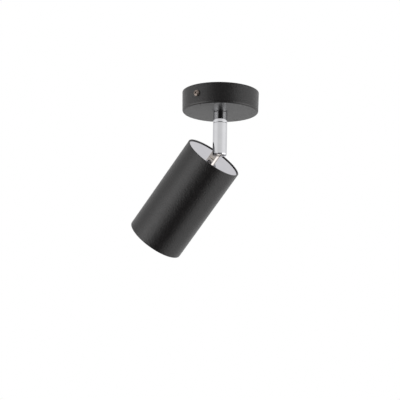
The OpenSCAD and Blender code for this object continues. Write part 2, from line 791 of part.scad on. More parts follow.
module head_leads() {
    bore_x = lead_d / 2 + 0.35 - stud_bore_d / 2 + 0.02;
    color(lead_brown) in_head() for (side = [-1, 1])
        swept_lead([
            [lead_x, side * lead_side, 1.4],
            [lead_x, side * lead_side, -1.8],
            [lead_x + 0.5, side * lead_side, -5],
            [bore_x, side * lead_side, foot_top - 0.6],
            [bore_x, side * lead_side, cap_bottom],
            [bore_x, side * lead_side, stud_bottom],
            [-1, side * 2.6, (stud_bottom + holder_top) / 2 - 0.5],
            [0, side * pin_pitch / 2, holder_top + 1.2],
            [0, side * pin_pitch / 2, holder_top]]);
}

module lamp_base() {
    color(white_ceramic) in_head() difference() {
        union() {
            translate([0, 0, lamp_top - base_collar_len])
                bevelled_bar(2 * base_r, base_collar_len, edge_bevel);
            translate([0, 0, lamp_top - base_len]) cylinder(r = base_neck_r, h = base_len - 1);
        }
        for (side = [-1, 1])
            translate([0, side * pin_pitch / 2, lamp_top - pin_root])
                cylinder(r = pin_neck_r + fit_gap, h = pin_root + cut, $fn = 48);
    }
}

module lamp_pins() {
    color(zinc_steel) in_head() for (side = [-1, 1])
        translate([0, side * pin_pitch / 2, 0]) {
            translate([0, 0, lamp_top - pin_root])
                cylinder(r = pin_neck_r, h = pin_root + pin_neck_l + pin_head_l, $fn = 48);
            translate([0, 0, lamp_top + pin_neck_l]) cylinder(r = pin_head_r, h = pin_head_l, $fn = 48);
        }
}

// The shell flares from the base to the front rim along a quarter of an ellipse
flare_start = base_r + 0.2;
function flare_r(t) = flare_start + (lamp_d / 2 - flare_start) * sin(90 * t);
module lamp_shell() {
    flare_steps = 14;
    neck_r = base_neck_r + fit_gap;
    flare_h = shell_top - lamp_front - lamp_rim_h;
    outer = [for (i = [0 : flare_steps]) let (t = i / flare_steps)
        [flare_r(t), shell_top - flare_h * (1 - cos(90 * t))]];
    inner = [for (i = [flare_steps : -1 : 1]) let (t = i / flare_steps)
        [flare_r(t) - shell_t, shell_top - shell_t - flare_h * (1 - cos(90 * t))]];
    color("#e4e3df") in_head() rotate_extrude()
        polygon(concat(
            [[neck_r, shell_top]], outer,
            [[lamp_d / 2, lamp_front], [lamp_d / 2 - shell_t, lamp_front]],
            inner, [[neck_r, shell_top - shell_t]]));
}

module lamp_led_board() {
    color("#f1efe6") in_head() translate([0, 0, lamp_top - base_len - board_t]) {
        cylinder(r = board_r, h = board_t);
        translate([0, 0, -emitter_h])
            cylinder(r1 = 0.8 * emitter_r, r2 = emitter_r, h = emitter_h, $fn = 48);
    }
}

// A front disc with a solid cone behind it that gathers the light
module lamp_lens() {
    disc_r = lamp_d / 2 - shell_t - slide_gap;
    front = lamp_front + lens_recess;
    back = front + lens_t;
    cup_z = lamp_top - base_len - board_t - loose_gap;
    cup_r = emitter_r + 1.2;
    cup_wall = 1.6;
    cup_depth = 5.5;
    color("#dfe6ea", 0.5) in_head() rotate_extrude()
        polygon([
            [0, front], [disc_r, front], [disc_r, back], [disc_r - 2 * lens_t, back],
            [cup_r + cup_wall, cup_z], [cup_r, cup_z],
            [cup_r - 0.8, cup_z - cup_depth + 1], [0, cup_z - cup_depth]]);
}

canopy_cover();
mounting_bracket();
canopy_side_screws();
terminal_block();
terminal_sleeves();
terminal_screws();
terminal_block_screws();
earth_screw();
earth_washer();
earth_ring_tag();
earth_lead();
canopy_leads();
canopy_locknut();
canopy_lock_washer();
swivel_collar();
swivel_stop_pin();
swivel_washer();
stem_tube();
swivel_set_screw();
hinge_screw();
hinge_spring_washer();
stem_leads();
hinge_tongue();
head_cap();
housing_tube();
cap_snap_ring();
tongue_lock_washer();
tongue_locknut();
lampholder_bracket();
lampholder();
lampholder_contacts();
lampholder_screws();
head_leads();
lamp_base();
lamp_pins();
lamp_shell();
lamp_led_board();
lamp_lens();
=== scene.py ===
import json
import math

import bmesh
import bpy
from mathutils import Matrix, Vector


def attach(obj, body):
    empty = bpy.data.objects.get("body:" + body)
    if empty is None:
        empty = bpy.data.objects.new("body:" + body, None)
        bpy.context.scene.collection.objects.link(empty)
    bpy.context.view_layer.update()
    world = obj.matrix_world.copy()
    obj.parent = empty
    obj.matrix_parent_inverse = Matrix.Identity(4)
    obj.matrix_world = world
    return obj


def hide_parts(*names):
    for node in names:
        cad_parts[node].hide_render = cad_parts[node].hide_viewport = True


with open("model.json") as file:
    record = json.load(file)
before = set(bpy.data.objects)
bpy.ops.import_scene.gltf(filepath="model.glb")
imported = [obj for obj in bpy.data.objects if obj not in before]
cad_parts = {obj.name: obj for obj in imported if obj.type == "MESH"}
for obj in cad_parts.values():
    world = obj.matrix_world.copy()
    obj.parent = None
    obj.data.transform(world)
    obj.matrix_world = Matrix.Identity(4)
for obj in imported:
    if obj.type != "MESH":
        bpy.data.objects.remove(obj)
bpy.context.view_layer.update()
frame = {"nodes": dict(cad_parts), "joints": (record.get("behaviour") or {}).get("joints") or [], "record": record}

MM = 0.001
SIDES = (-1, 1)

# The camera comes from a fit of the canopy's, the stem's and the head's outlines to the photograph.
# It stands below the ceiling and looks up, with the head leaning away to its left.
FRAME_PX = 400
FOCAL_PX = 1095.7
SENSOR_MM = 36
CAMERA_DISTANCE = 1.1525
CAMERA_BELOW = math.radians(16.44)
CAMERA_ROLL = math.radians(1.12)
HEAD_SWING = math.radians(-37.06)
CANOPY_PX = (219.22, 92.68)
SEES_AS_FAR_AS = 50

camera_right = Vector((math.cos(HEAD_SWING), -math.sin(HEAD_SWING), 0))
camera_ahead = Vector((math.sin(HEAD_SWING), math.cos(HEAD_SWING), 0))


def make_camera():
    yaw = -math.atan((CANOPY_PX[0] - FRAME_PX / 2) / FOCAL_PX)
    pitch = CAMERA_BELOW - math.atan((FRAME_PX / 2 - CANOPY_PX[1]) / FOCAL_PX)
    level = camera_ahead * math.cos(yaw) + camera_right * math.sin(yaw)
    forward = level * math.cos(pitch) + Vector((0, 0, math.sin(pitch)))
    right = forward.cross(Vector((0, 0, 1))).normalized()
    up = right.cross(forward)
    rolled_right = right * math.cos(CAMERA_ROLL) + up * math.sin(CAMERA_ROLL)
    rolled_up = up * math.cos(CAMERA_ROLL) - right * math.sin(CAMERA_ROLL)
    lens = bpy.data.cameras.new("camera")
    lens.sensor_width = SENSOR_MM
    lens.lens = FOCAL_PX / FRAME_PX * SENSOR_MM
    lens.clip_end = SEES_AS_FAR_AS
    camera = bpy.data.objects.new("camera", lens)
    axes = Matrix((rolled_right, rolled_up, -forward)).transposed()
    place = -camera_ahead * math.cos(CAMERA_BELOW) - Vector((0, 0, math.sin(CAMERA_BELOW)))
    camera.matrix_world = Matrix.Translation(place * CAMERA_DISTANCE) @ axes.to_4x4()
    bpy.context.scene.collection.objects.link(camera)
    bpy.context.scene.camera = camera


make_camera()

# Shapes. Their sizes are in millimetres.


def polar(radius, angle):
    return radius * math.cos(angle), radius * math.sin(angle)


def circle(radius, steps):
    return [polar(radius, 2 * math.pi * k / steps) for k in range(steps)]


def hexagon(corner_r):
    return [polar(corner_r, math.radians(60 * k)) for k in range(6)]


def oblong(half_x, half_y, radius, steps):
    return rounded([(-half_x, -half_y, radius), (half_x, -half_y, radius),
                    (half_x, half_y, radius), (-half_x, half_y, radius)], steps)


def rounded(corners, steps=5):
    """Corners as (x, y, radius), to an outline whose corners are rounded."""
    outline = []
    for i, (x, y, radius) in enumerate(corners):
        if radius == 0:
            outline.append((x, y))
            continue
        here = Vector((x, y))
        back = Vector(corners[i - 1][:2]) - here
        ahead = Vector(corners[(i + 1) % len(corners)][:2]) - here
        half = back.angle(ahead) / 2
        # No rounding takes up more than about half an edge
        tangent = min(radius / math.tan(half), 0.49 * back.length, 0.49 * ahead.length)
        centre = here + (back.normalized() + ahead.normalized()).normalized() * tangent / math.cos(half)
        first = here + back.normalized() * tangent - centre
        last = here + ahead.normalized() * tangent - centre
        start = math.atan2(first.y, first.x)
        sweep = math.atan2(first.cross(last), first.dot(last))
        for step in range(steps + 1):
            right, up = polar(first.length, start + sweep * step / steps)
            outline.append((centre.x + right, centre.y + up))
    return outline


def solid(points, faces):
    mesh = bpy.data.meshes.new("solid")
    mesh.from_pydata([Vector(point) * MM for point in points], [], faces)
    shape = bmesh.new()
    shape.from_mesh(mesh)
    bmesh.ops.recalc_face_normals(shape, faces=shape.faces)
    shape.to_mesh(mesh)
    shape.free()
    made = bpy.data.objects.new("solid", mesh)
    bpy.context.scene.collection.objects.link(made)
    return made


def belt(a, b, count):
    """The faces between rings a and b, where every ring has the same number of points."""
    corners = [(k, (k + 1) % count) for k in range(count)]
    return [(a * count + k, a * count + after, b * count + after, b * count + k) for k, after in corners]


def skin(rows, count, ends=True):
    """The faces of a rod whose rings of points follow each other, with its two ends."""
    faces = [face for row in range(rows) for face in belt(row, row + 1, count)]
    return faces + [tuple(range(count)), tuple(range(rows * count, (rows + 1) * count))] if ends else faces


def turned(outline, steps=128):
    """A closed outline of (radius, height), turned round Z."""
    points, rings = [], []
    for radius, height in outline:
        count = steps if radius else 1
        rings.append(range(len(points), len(points) + count))
        points += [(x, y, height) for x, y in circle(radius, steps)[:count]]
    faces = []
    for a, b in zip(rings, rings[1:] + rings[:1]):
        if len(a) == len(b) == 1:
            continue
        for k in range(steps):
            after = (k + 1) % steps
            corners = [a[k % len(a)], a[after % len(a)], b[after % len(b)], b[k % len(b)]]
            faces.append(list(dict.fromkeys(corners)))
    return solid(points, faces)


def extruded(outline, low, high):
    """A closed outline of (x, y), from one height to another."""
    return solid([(x, y, z) for z in (low, high) for x, y in outline], skin(1, len(outline)))


def rod(radius, low, high, steps=48):
    return turned([(0, low), (radius, low), (radius, high), (0, high)], steps)


def rod_pair(radius, low, high, x, y):
    """Two rods, on both sides of the middle."""
    return [moved(rod(radius, low, high), at(x, side * y, 0)) for side in SIDES]


def plate(low, high):
    """A block between two corners."""
    outline = [(low[0], low[1]), (high[0], low[1]), (high[0], high[1]), (low[0], high[1])]
    return extruded(outline, low[2], high[2])


ROWS_PER_PITCH = 4
THREAD_DEPTH = 0.55


def threaded(radius, pitch, low, high, bore=0, steps=48):
    """A rod whose side carries a screw thread, and a bore if it has one."""
    rows = max(2, round((high - low) / pitch * ROWS_PER_PITCH))
    depth = THREAD_DEPTH * pitch
    points = []
    for row in range(rows + 1):
        height = low + (high - low) * row / rows
        for k in range(steps):
            share = (height / pitch - k / steps) % 1
            deep = 1 if row in (0, rows) else abs(2 * share - 1)
            points.append((*polar(radius - depth * deep, 2 * math.pi * k / steps), height))
    if not bore:
        return solid(points, skin(rows, steps))
    points += [(x, y, z) for z in (low, high) for x, y in circle(bore, steps)]
    bore_low, bore_high = rows + 1, rows + 2
    return solid(points, skin(rows, steps, ends=False) + belt(bore_low, bore_high, steps)
                 + belt(0, bore_low, steps) + belt(rows, bore_high, steps))


def curve_through(stops, steps):
    """A smooth route through the stops."""
    stops = [Vector(stop) for stop in stops]
    route = []
    for i in range(len(stops) - 1):
        a, b = stops[max(i - 1, 0)], stops[i]
        c, d = stops[i + 1], stops[min(i + 2, len(stops) - 1)]
        for step in range(steps):
            t = step / steps
            route.append(0.5 * (2 * b + (c - a) * t + (2 * a - 5 * b + 4 * c - d) * t * t
                                + (3 * b - a - 3 * c + d) * t * t * t))
    return route + [stops[-1]]


def lead(stops, radius, sides=16, steps=8):
    """A round lead along a route. Its map runs round it and along it, for the stripes."""
    route = curve_through(stops, steps)
    points = []
    side = None
    for i, here in enumerate(route):
        along = (route[min(i + 1, len(route) - 1)] - route[max(i - 1, 0)]).normalized()
        side = along.orthogonal() if side is None else side - along * side.dot(along)
        side.normalize()
        over = along.cross(side)
        points += [here + (side * x + over * y) * radius for x, y in circle(1, sides)]
    rows = len(route) - 1
    made = solid(points, skin(rows, sides))
    wrap = made.data.uv_layers.new(name="round_and_along")
    for face in made.data.polygons:
        first = [made.data.loops[i].vertex_index % sides for i in face.loop_indices]
        seam = max(first) - min(first) > sides / 2
        for i, k in zip(face.loop_indices, first):
            row = made.data.loops[i].vertex_index // sides
            wrap.data[i].uv = ((k + sides if seam and k < sides / 2 else k) / sides, row / rows)
    return made


def settled(made):
    """Turns a shape's modifiers into its mesh."""
    graph = bpy.context.evaluated_depsgraph_get()
    mesh = bpy.data.meshes.new_from_object(made.evaluated_get(graph))
    made.modifiers.clear()
    made.data = mesh
    return made


def combined(made, operation, tools):
    for tool in tools:
        step = made.modifiers.new(operation, "BOOLEAN")
        step.operation = operation
        step.solver = "EXACT"
        step.object = tool
    settled(made)
    for tool in tools:
        bpy.data.objects.remove(tool)
    return made


def cut(made, *tools):
    return combined(made, "DIFFERENCE", tools)


def welded(made, *tools):
    return combined(made, "UNION", tools)


def gathered(*parts):
    """Separate solids of one piece, as one mesh."""
    shape = bmesh.new()
    for part in parts:
        shape.from_mesh(part.data)
    mesh = bpy.data.meshes.new("solid")
    shape.to_mesh(mesh)
    shape.free()
    for part in parts[1:]:
        bpy.data.objects.remove(part)
    parts[0].data = mesh
    return parts[0]


def smooth(made, bevel=0, sharp=38, steps=2):
    """Rounds the hard edges, where asked, and shades the curved faces as one surface."""
    if bevel:
        edges = made.modifiers.new("edges", "BEVEL")
        edges.width = bevel * MM
        edges.segments = steps
        edges.limit_method = "ANGLE"
        edges.angle_limit = math.radians(sharp)
        settled(made)
    made.data.shade_smooth()
    made.data.set_sharp_from_angle(angle=math.radians(sharp))
    weigh = made.modifiers.new("weigh", "WEIGHTED_NORMAL")
    weigh.keep_sharp = True
    return settled(made)


def trued(made, radius):
    """Shades a turned wall as a true cylinder, right up to its slots and holes."""
    mesh = made.data
    nearly = 0.01
    normals = [Vector(corner.vector) for corner in mesh.corner_normals]
    for face in mesh.polygons:
        corners = [mesh.vertices[mesh.loops[i].vertex_index].co for i in face.loop_indices]
        if all(abs(math.hypot(c.x, c.y) / MM - radius) < nearly for c in corners):
            for i, c in zip(face.loop_indices, corners):
                normals[i] = Vector((c.x, c.y, 0)).normalized()
    mesh.normals_split_custom_set(normals)
    return made


def at(x, y, z):
    return Matrix.Translation(Vector((x, y, z)) * MM)


def turn(axis, degrees):
    return Matrix.Rotation(math.radians(degrees), 4, axis)


# An outline of (y, z), swept along X
ALONG_X = Matrix(((0, 0, 1, 0), (1, 0, 0, 0), (0, 1, 0, 0), (0, 0, 0, 1)))


def moved(made, *steps):
    """The last step is taken first, as in a product of matrices."""
    for step in reversed(steps):
        made.data.transform(step)
    return made


# Screws, nuts and washers. Each stands on z = 0, with a screw's shank below.


def pan_screw(radius, length, head_r, head_h, pitch=0.7, plain=0):
    """A domed head with a tapering cross recess, and a thread below a plain neck if it has one."""
    head_d = 2 * head_r
    arm, half, depth = 0.29 * head_d, 0.065 * head_d, 0.62 * head_h
    root = 0.05
    dome = rounded([(0, 0, 0), (head_r, 0, 0.12), (head_r, 0.45 * head_h, 0.3),
                    (0.74 * head_r, 0.93 * head_h, 0.5), (0, head_h, 0)])
    head = turned(dome, 64)
    for angle in (0, 90):
        slot = plate((-arm, -half, head_h - depth), (arm, half, head_h + 1))
        for point in slot.data.vertices:
            if point.co.z < head_h * MM:
                point.co.x *= 0.55
                point.co.y *= 0.8
        cut(head, moved(slot, turn("Z", angle)))
    parts = [head, threaded(radius, pitch, -length, root - plain)]
    if plain:
        parts.append(rod(radius, -plain, root))
    return smooth(gathered(*parts))


def screw_pair(x, y, seat, spin, *sizes):
    """Two screws driven upwards, on both sides of the middle."""
    return gathered(*[moved(pan_screw(*sizes), at(x, side * y, seat), turn("X", 180), turn("Z", spin * side))
                      for side in SIDES])


def hex_nut(flats, bore, height):
    corner = flats / math.sqrt(3)
    rim, top = 0.97 * flats / 2, corner + 0.5
    drop = (top - rim) * math.tan(math.radians(30))
    chamfer = turned([(0, 0), (rim, 0), (top, drop), (top, height - drop), (rim, height), (0, height)], 96)
    block = combined(extruded(hexagon(corner), 0, height), "INTERSECT", [chamfer])
    return smooth(cut(block, rod(bore, -1, height + 1)), 0.08, 28)


def toothed_washer(radius, bore, height, teeth):
    """A locking washer: each tooth is twisted out of the ring's plane."""
    gap = 0.86
    outline = [polar(out * radius, 2 * math.pi * (k + share) / teeth) for k in range(teeth)
               for share, out in ((0.0, 1.0), (0.5, 1.0), (0.6, gap), (0.9, gap))]
    sheet = 0.55 * height
    ring = extruded(outline, 0, sheet)
    for point in ring.data.vertices:
        away = math.hypot(point.co.x, point.co.y) / MM / radius
        share = (math.atan2(point.co.y, point.co.x) / (2 * math.pi) * teeth) % 1
        if away > (1 + gap) / 2 and 0.25 < share < 0.75:
            point.co.z += (height - sheet) * MM
    return smooth(cut(ring, rod(bore, -1, height + 1)), 0.06)


def split_washer(radius, bore, height, gap=14, steps=72):
    """A spring washer: a cut ring that climbs a little along its turn."""
    sheet = 0.75 * height
    points = []
    for k in range(steps + 1):
        angle = math.radians(gap / 2 + (360 - gap) * k / steps)
        low = (height - sheet) * k / steps
        points += [(*polar(r, angle), z)
                   for r, z in ((bore, low), (radius, low), (radius, low + sheet), (bore, low + sheet))]
    return smooth(solid(points, skin(steps, 4)), 0.04)


def flat_washer(radius, bore, height, edge):
    outline = [(bore, 0, edge), (radius, 0, edge), (radius, height, edge), (bore, height, edge)]
    return smooth(turned(rounded(outline, 3), 64))


# Finishes. Each one is named for what the real surface is and how it was made.


def linear(colour):
    """An sRGB hex colour as linear values."""
    parts = [int(colour[i:i + 2], 16) / 255 for i in (1, 3, 5)]
    return [c / 12.92 if c <= 0.04045 else ((c + 0.055) / 1.055) ** 2.4 for c in parts] + [1]


def add_node(tree, kind, inputs=(), **settings):
    """A node with its settings. Each input is its name or number, and the socket or value that feeds it."""
    node = tree.nodes.new(kind)
    for name, value in settings.items():
        if hasattr(node, name):
            setattr(node, name, value)
        else:
            node.inputs[name.replace("_", " ")].default_value = value
    for name, source in inputs:
        if isinstance(source, bpy.types.NodeSocket):
            tree.links.new(source, node.inputs[name])
        else:
            node.inputs[name].default_value = source
    return node


def per_mm(size):
    """The scale of a pattern whose cells are this many millimetres wide."""
    return 1 / (size * MM)


def new_finish(name, *patterns, stretch=None, **settings):
    """A material with one shader, and its patterns in the object's own coordinates.

    Each pattern is (texture, width in millimetres, settings). A stretch draws the first into lines.
    """
    finish = bpy.data.materials.new(name)
    finish.use_nodes = True
    tree = finish.node_tree
    for socket, value in settings.items():
        tree.nodes["Principled BSDF"].inputs[socket.replace("_", " ")].default_value = value
    place = add_node(tree, "ShaderNodeTexCoord").outputs["Object"]
    drawn = place
    if stretch:
        drawn = add_node(tree, "ShaderNodeMapping", [("Vector", place)], Scale=stretch).outputs["Vector"]
    sources = []
    for texture, size, facts in patterns:
        node = add_node(tree, "ShaderNodeTex" + texture, [("Vector", place if sources else drawn)],
                        Scale=per_mm(size), **facts)
        sources.append(node.outputs[0])
    return finish, *sources


def lay_on(finish, tone, colours, gloss, rough, *bumps):
    """Lays colours along one pattern, roughness along another, and bumps over each other.

    Colours are (place, hex colour), and bumps are (pattern, height in millimetres).
    """
    tree = finish.node_tree
    ramp = add_node(tree, "ShaderNodeValToRGB", [("Fac", tone)])
    for i, (place, colour) in enumerate(colours):
        stop = ramp.color_ramp.elements[i] if i < 2 else ramp.color_ramp.elements.new(place)
        stop.position = place
        stop.color = linear(colour)
    spread = add_node(tree, "ShaderNodeMapRange", [("Value", gloss)],
                      From_Min=0.3, From_Max=0.7, To_Min=rough[0], To_Max=rough[1])
    normal = None
    for pattern, height in bumps:
        under = [("Normal", normal)] if normal else []
        normal = add_node(tree, "ShaderNodeBump", [("Height", pattern)] + under,
                          Strength=1, Distance=height * MM).outputs["Normal"]
    for socket, source in (("Base Color", ramp.outputs["Color"]), ("Roughness", spread.outputs["Result"]),
                           ("Normal", normal)):
        tree.links.new(source, tree.nodes["Principled BSDF"].inputs[socket])
    return finish


def powder_coat():
    # Polyester powder, sprayed and baked: a satin black skin, whose fine sandy grain breaks
    # the highlights up. The real grain is about 0.3 mm wide, and drawn at 1.2 mm so that it shows.
    finish, grain, flow = new_finish("satin_black_powder_coat", ("Noise", 1.2, {"Detail": 3}),
                                     ("Noise", 7, {"Detail": 2}), Metallic=0, IOR=1.42)
    tree = finish.node_tree
    # Seen at a low angle, the grain scatters the light a touch more
    slant = add_node(tree, "ShaderNodeLayerWeight", Blend=0.5).outputs["Facing"]
    scatter = add_node(tree, "ShaderNodeMapRange", [("Value", slant)],
                       From_Min=0.4, From_Max=0.75, To_Min=0.4, To_Max=0.45).outputs["Result"]
    gloss = add_node(tree, "ShaderNodeMath", [(0, flow), (1, 0.08), (2, scatter)],
                     operation="MULTIPLY_ADD").outputs[0]
    return lay_on(finish, grain, ((0.36, "#050404"), (0.64, "#191516")), gloss, (0.3, 0.5),
                  (flow, 0.02), (grain, 0.26))


def chrome(name, stretch):
    # Bright chrome over polished nickel: a clean mirror, a little cool,
    # with hardly visible marks of the polishing under the plate
    finish, marks, haze = new_finish(name, ("Noise", 0.4, {"Detail": 2}), ("Noise", 9, {"Detail": 3}),
                                     stretch=stretch, Metallic=1, Specular_Tint=linear("#ecebee"))
    return lay_on(finish, haze, ((0.3, "#c1c1c4"), (0.7, "#c7c7c9")), haze, (0.03, 0.06), (marks, 0.0006))


def brushed(name, dark, light, low, high, stretch=(1, 1, 0.05), grain=0.5, height=0.004):
    """A metal finished with lines one way: bright streaks that widen its highlights."""
    finish, streaks, cloud = new_finish(name, ("Noise", grain, {"Detail": 4}), ("Noise", 3, {"Detail": 2}),
                                        stretch=stretch, Metallic=1)
    return lay_on(finish, cloud, ((0.3, dark), (0.7, light)), streaks, (low, high), (streaks, height))


def moulded(name, dark, light, low, high, grain=0.4, height=0.01, **settings):
    """A moulded plastic or a pressed ceramic: an even colour with a fine tooled grain."""
    finish, fine, cloud = new_finish(name, ("Noise", grain, {"Detail": 3}), ("Noise", 6, {"Detail": 2}),
                                     Metallic=0, **settings)
    return lay_on(finish, cloud, ((0.3, dark), (0.7, light)), fine, (low, high), (fine, height))


def earth_sleeve():
    # Extruded silicone, green with a yellow stripe that winds slowly round it
    finish, fine = new_finish("green_yellow_silicone", ("Noise", 0.6, {"Detail": 2}), Metallic=0, IOR=1.43)
    green, yellow, winds = "#3f7d2e", "#d9c02f", 1.6
    tree = finish.node_tree
    wrap = add_node(tree, "ShaderNodeUVMap", uv_map="round_and_along").outputs["UV"]
    parts = add_node(tree, "ShaderNodeSeparateXYZ", [("Vector", wrap)]).outputs
    wound = add_node(tree, "ShaderNodeMath", [(0, parts["Y"]), (1, winds), (2, parts["X"])],
                     operation="MULTIPLY_ADD").outputs[0]
    stripe = add_node(tree, "ShaderNodeMath", [(0, wound)], operation="FRACT").outputs[0]
    return lay_on(finish, stripe, ((0.0, green), (0.58, green), (0.6, yellow), (1.0, yellow)),
                  fine, (0.4, 0.55), (fine, 0.01))


def led_board():
    # White solder lacquer over a printed circuit: faint raised tracks show through it
    finish, tracks = new_finish("white_lacquered_board", ("Voronoi", 3.2, {"feature": "DISTANCE_TO_EDGE"}),
                                Metallic=0, IOR=1.5)
    return lay_on(finish, tracks, ((0.0, "#d7d6c8"), (0.12, "#ecebe2")), tracks, (0.3, 0.4), (tracks, 0.03))


def clear_lens():
    # Injection moulded acrylic: clear, with small raised lenslets that scatter the lamp's light
    finish, cells = new_finish("clear_acrylic", ("Voronoi", 2.2, {"feature": "SMOOTH_F1"}),
                               Metallic=0, IOR=1.49, Transmission_Weight=1)
    return lay_on(finish, cells, ((0.0, "#f6fafb"), (1.0, "#eef3f4")), cells, (0.02, 0.05), (cells, 0.12))


FINISHES = {
    "black_powder_coat": powder_coat(),
    "chrome_plate": chrome("turned_mirror_chrome", (0.02, 0.02, 1)),
    # Bead blasted, then nickel plated: warm, soft and silky
    "satin_nickel": brushed("satin_nickel_plate", "#bbb5ae", "#c6c0b9", 0.12, 0.2, (1, 1, 1)),
    # Cold formed steel, barrel plated with nickel: warm, a little uneven. Its colour is drawn far darker than
    # nickel is: painted shade, for the dark that the side screws, sunk in the canopy's wall, reflect from round
    # them
    "nickel_plated_steel": brushed("barrel_nickel_plate_painted_shade", "#655c56", "#7a706a", 0.2, 0.34, (1, 1, 1), 0.8),
    # Zinc, clear passivated: cool and slightly blue, with rolled streaks
    "zinc_plated_steel": brushed("clear_zinc_plate", "#a9adb2", "#bdc0c2", 0.26, 0.42, (1, 0.08, 1), 0.6),
    # Hot blackened and oiled: nearly black, with a soft oily shine
    "blackened_steel": brushed("oiled_black_steel", "#1d1d1f", "#2b2b2d", 0.3, 0.42),
    # Turned brass, left bare: yellow, with fine turning lines
    "brass": brushed("turned_brass", "#b8934a", "#cfae63", 0.2, 0.34, (1, 1, 0.2)),
    # Turned brass under thin nickel, still a little yellow
    "nickel_plated_brass": brushed("nickel_on_brass", "#b6ad99", "#c6bfae", 0.16, 0.28),
    # Nylon lets a little light in, so it looks milky
    "white_polyamide": moulded("moulded_nylon", "#e2e0d6", "#ebe9e1", 0.38, 0.5, IOR=1.53,
                               Subsurface_Weight=0.1),
    # Nylon coloured black all through, dull
    "black_polyamide": moulded("black_moulded_nylon", "#131314", "#1b1b1c", 0.42, 0.55, IOR=1.53),
    # Pressed and fired steatite: chalky and warm, with a grain like fine sand
    "steatite_ceramic": moulded("fired_steatite", "#dcd5c5", "#e8e2d5", 0.5, 0.66, 0.7, 0.03, IOR=1.58),
    # Thermoplastic from a matt mould for the lamp's base, and from a polished one for its shell
    "lamp_base_plastic": moulded("base_thermoplastic", "#dddcd8", "#e6e5e1", 0.36, 0.46, IOR=1.5),
    "lamp_shell_plastic": moulded("shell_thermoplastic", "#e3e2de", "#ebeae7", 0.24, 0.34, 0.5, 0.006,
                                  IOR=1.5),
    "led_board": led_board(),
    "acrylic_lens": clear_lens(),
    "earth_lead_sleeve": earth_sleeve(),
}
FLAT_CHROME = chrome("flat_mirror_chrome", (1, 1, 1))
# Extruded silicone sleeves, silky, with the faint waves of the extruder
LIVE_SLEEVE = moulded("brown_silicone", "#4b2a18", "#5a3421", 0.4, 0.55, 0.6, 0.01, IOR=1.43)
NEUTRAL_SLEEVE = moulded("blue_silicone", "#1d4f86", "#2a6099", 0.4, 0.55, 0.6, 0.01, IOR=1.43)
# Silicone filled with phosphor powder, cast over the diodes: deep yellow and smooth
YELLOW_PHOSPHOR = moulded("phosphor_silicone", "#d9b63c", "#e6c757", 0.3, 0.4, 0.5, 0.01, IOR=1.42)


# Pieces. Those of the head and the lamp are shaped upright about the hinge, then tilted as the head is.
tilt_joint = next(joint for joint in frame["joints"] if joint["name"] == "head_tilt")
HINGE = Vector(tilt_joint["pos_m"]) / MM
TILTED = at(*HINGE) @ turn("Y", -tilt_joint["range_deg"][0])
BODY_OF = {node: body for body, nodes in frame["record"]["behaviour"]["bodies"].items() for node in nodes}
PLACES = {"head": TILTED, "lamp": TILTED}


def piece(made, name, body, slot, *nodes, finish=None):
    """Names a finished shape, ties it to its body and puts it in place of the CAD nodes."""
    if body in PLACES:
        moved(made, PLACES[body])
    made.name = name
    made.data.name = name
    made.data.materials.clear()
    made.data.materials.append(finish or FINISHES[slot])
    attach(made, body)
    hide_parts(*nodes)


def reach(node):
    """A node's lowest and highest corner in millimetres, with the head upright."""
    inverse = PLACES.get(BODY_OF[node], Matrix()).inverted()
    corners = [inverse @ point.co / MM for point in frame["nodes"][node].data.vertices]
    return [Vector([pick(c[i] for c in corners) for i in range(3)]) for pick in (min, max)]


# Sizes that several pieces share
M4_HOLE_R = 2.05
M3_HOLE_R = 1.55
CLEAR = 0.1
THREAD_CLEAR = 0.05
# How far a cutting shape reaches past the face that it cuts
PAST = 1

CANOPY_R = reach("canopy_cover")[1].x
CANOPY_H = -reach("canopy_cover")[0].z
CANOPY_SHEET = 1
CANOPY_DRAW = 0.4
CANOPY_EDGE = 2
SIDE_SCREW_DEPTH = 9.8
SIDE_SCREW_R = 2

STRAP_W = 16
STRAP_T = 1.5
SLOT_SPACING = 46
SLOT_LEN = 12
SLOT_W = 4.5
EAR_W = 10
CABLE_HOLE_R = 6
EAR_Y = reach("mounting_bracket")[1].y
EAR_DROP = -reach("mounting_bracket")[0].z

BLOCK_LOW, BLOCK_HIGH = reach("terminal_block")
BLOCK_X = (BLOCK_LOW.x + BLOCK_HIGH.x) / 2
BLOCK_Z = (BLOCK_LOW.z + BLOCK_HIGH.z) / 2
BLOCK_HOLE_R = 1.3
POLES = (-1, 0, 1)
POLE_PITCH = 8
WIRE_SCREW_X = [BLOCK_X + side * 3.6 for side in SIDES]
EARTH_Y = -12
LEAD_R = 0.75
LEAD_SIDE = LEAD_R + 0.1
BARED = 1.5

WASHER_LOW, WASHER_HIGH = reach("swivel_washer")
STEM_LOW, STEM_HIGH = reach("stem_tube")
STEM_R = STEM_HIGH.x
COLLAR_TOP = -CANOPY_H
COLLAR_BOTTOM = WASHER_HIGH.z
NIPPLE_R = 5
NIPPLE_BORE_R = 3
SPIGOT_R = 4.75
SPIGOT_LEN = 12
COLLAR_EDGE = 0.5
PARTING_EDGE = 0.2
STEM_CHAMFER_IN = 0.4
STEM_CHAMFER_H = 1
STEM_BORE_R = SPIGOT_R + CLEAR
WIRE_BORE_R = 3.2
POCKET_R = 5.3
SLOT_GAP = 5.5
HINGE_SEAT_Y = SLOT_GAP / 2 + 1.75
GROOVE_Z = COLLAR_BOTTOM - 7

RIM_W = 1.5
CAP_BOTTOM, CAP_TOP = [corner.z for corner in reach("head_cap")]
STUD_R = 4
STUD_HOLE_R = STUD_R + THREAD_CLEAR
STUD_BORE_R = 3
STUD_BOTTOM = reach("hinge_tongue")[0].z
PIN_X = 5
PIN_END = reach("lamp_pins")[1].z
LAMP_TURN = 30
LAMP_NECK_R = 12
HOLDER_SCREW_Y = 13


def outward(side, y):
    """Where a side screw or its hole stands, with its head outwards."""
    return at(0, side * y, -SIDE_SCREW_DEPTH), turn("X", -90 * side)


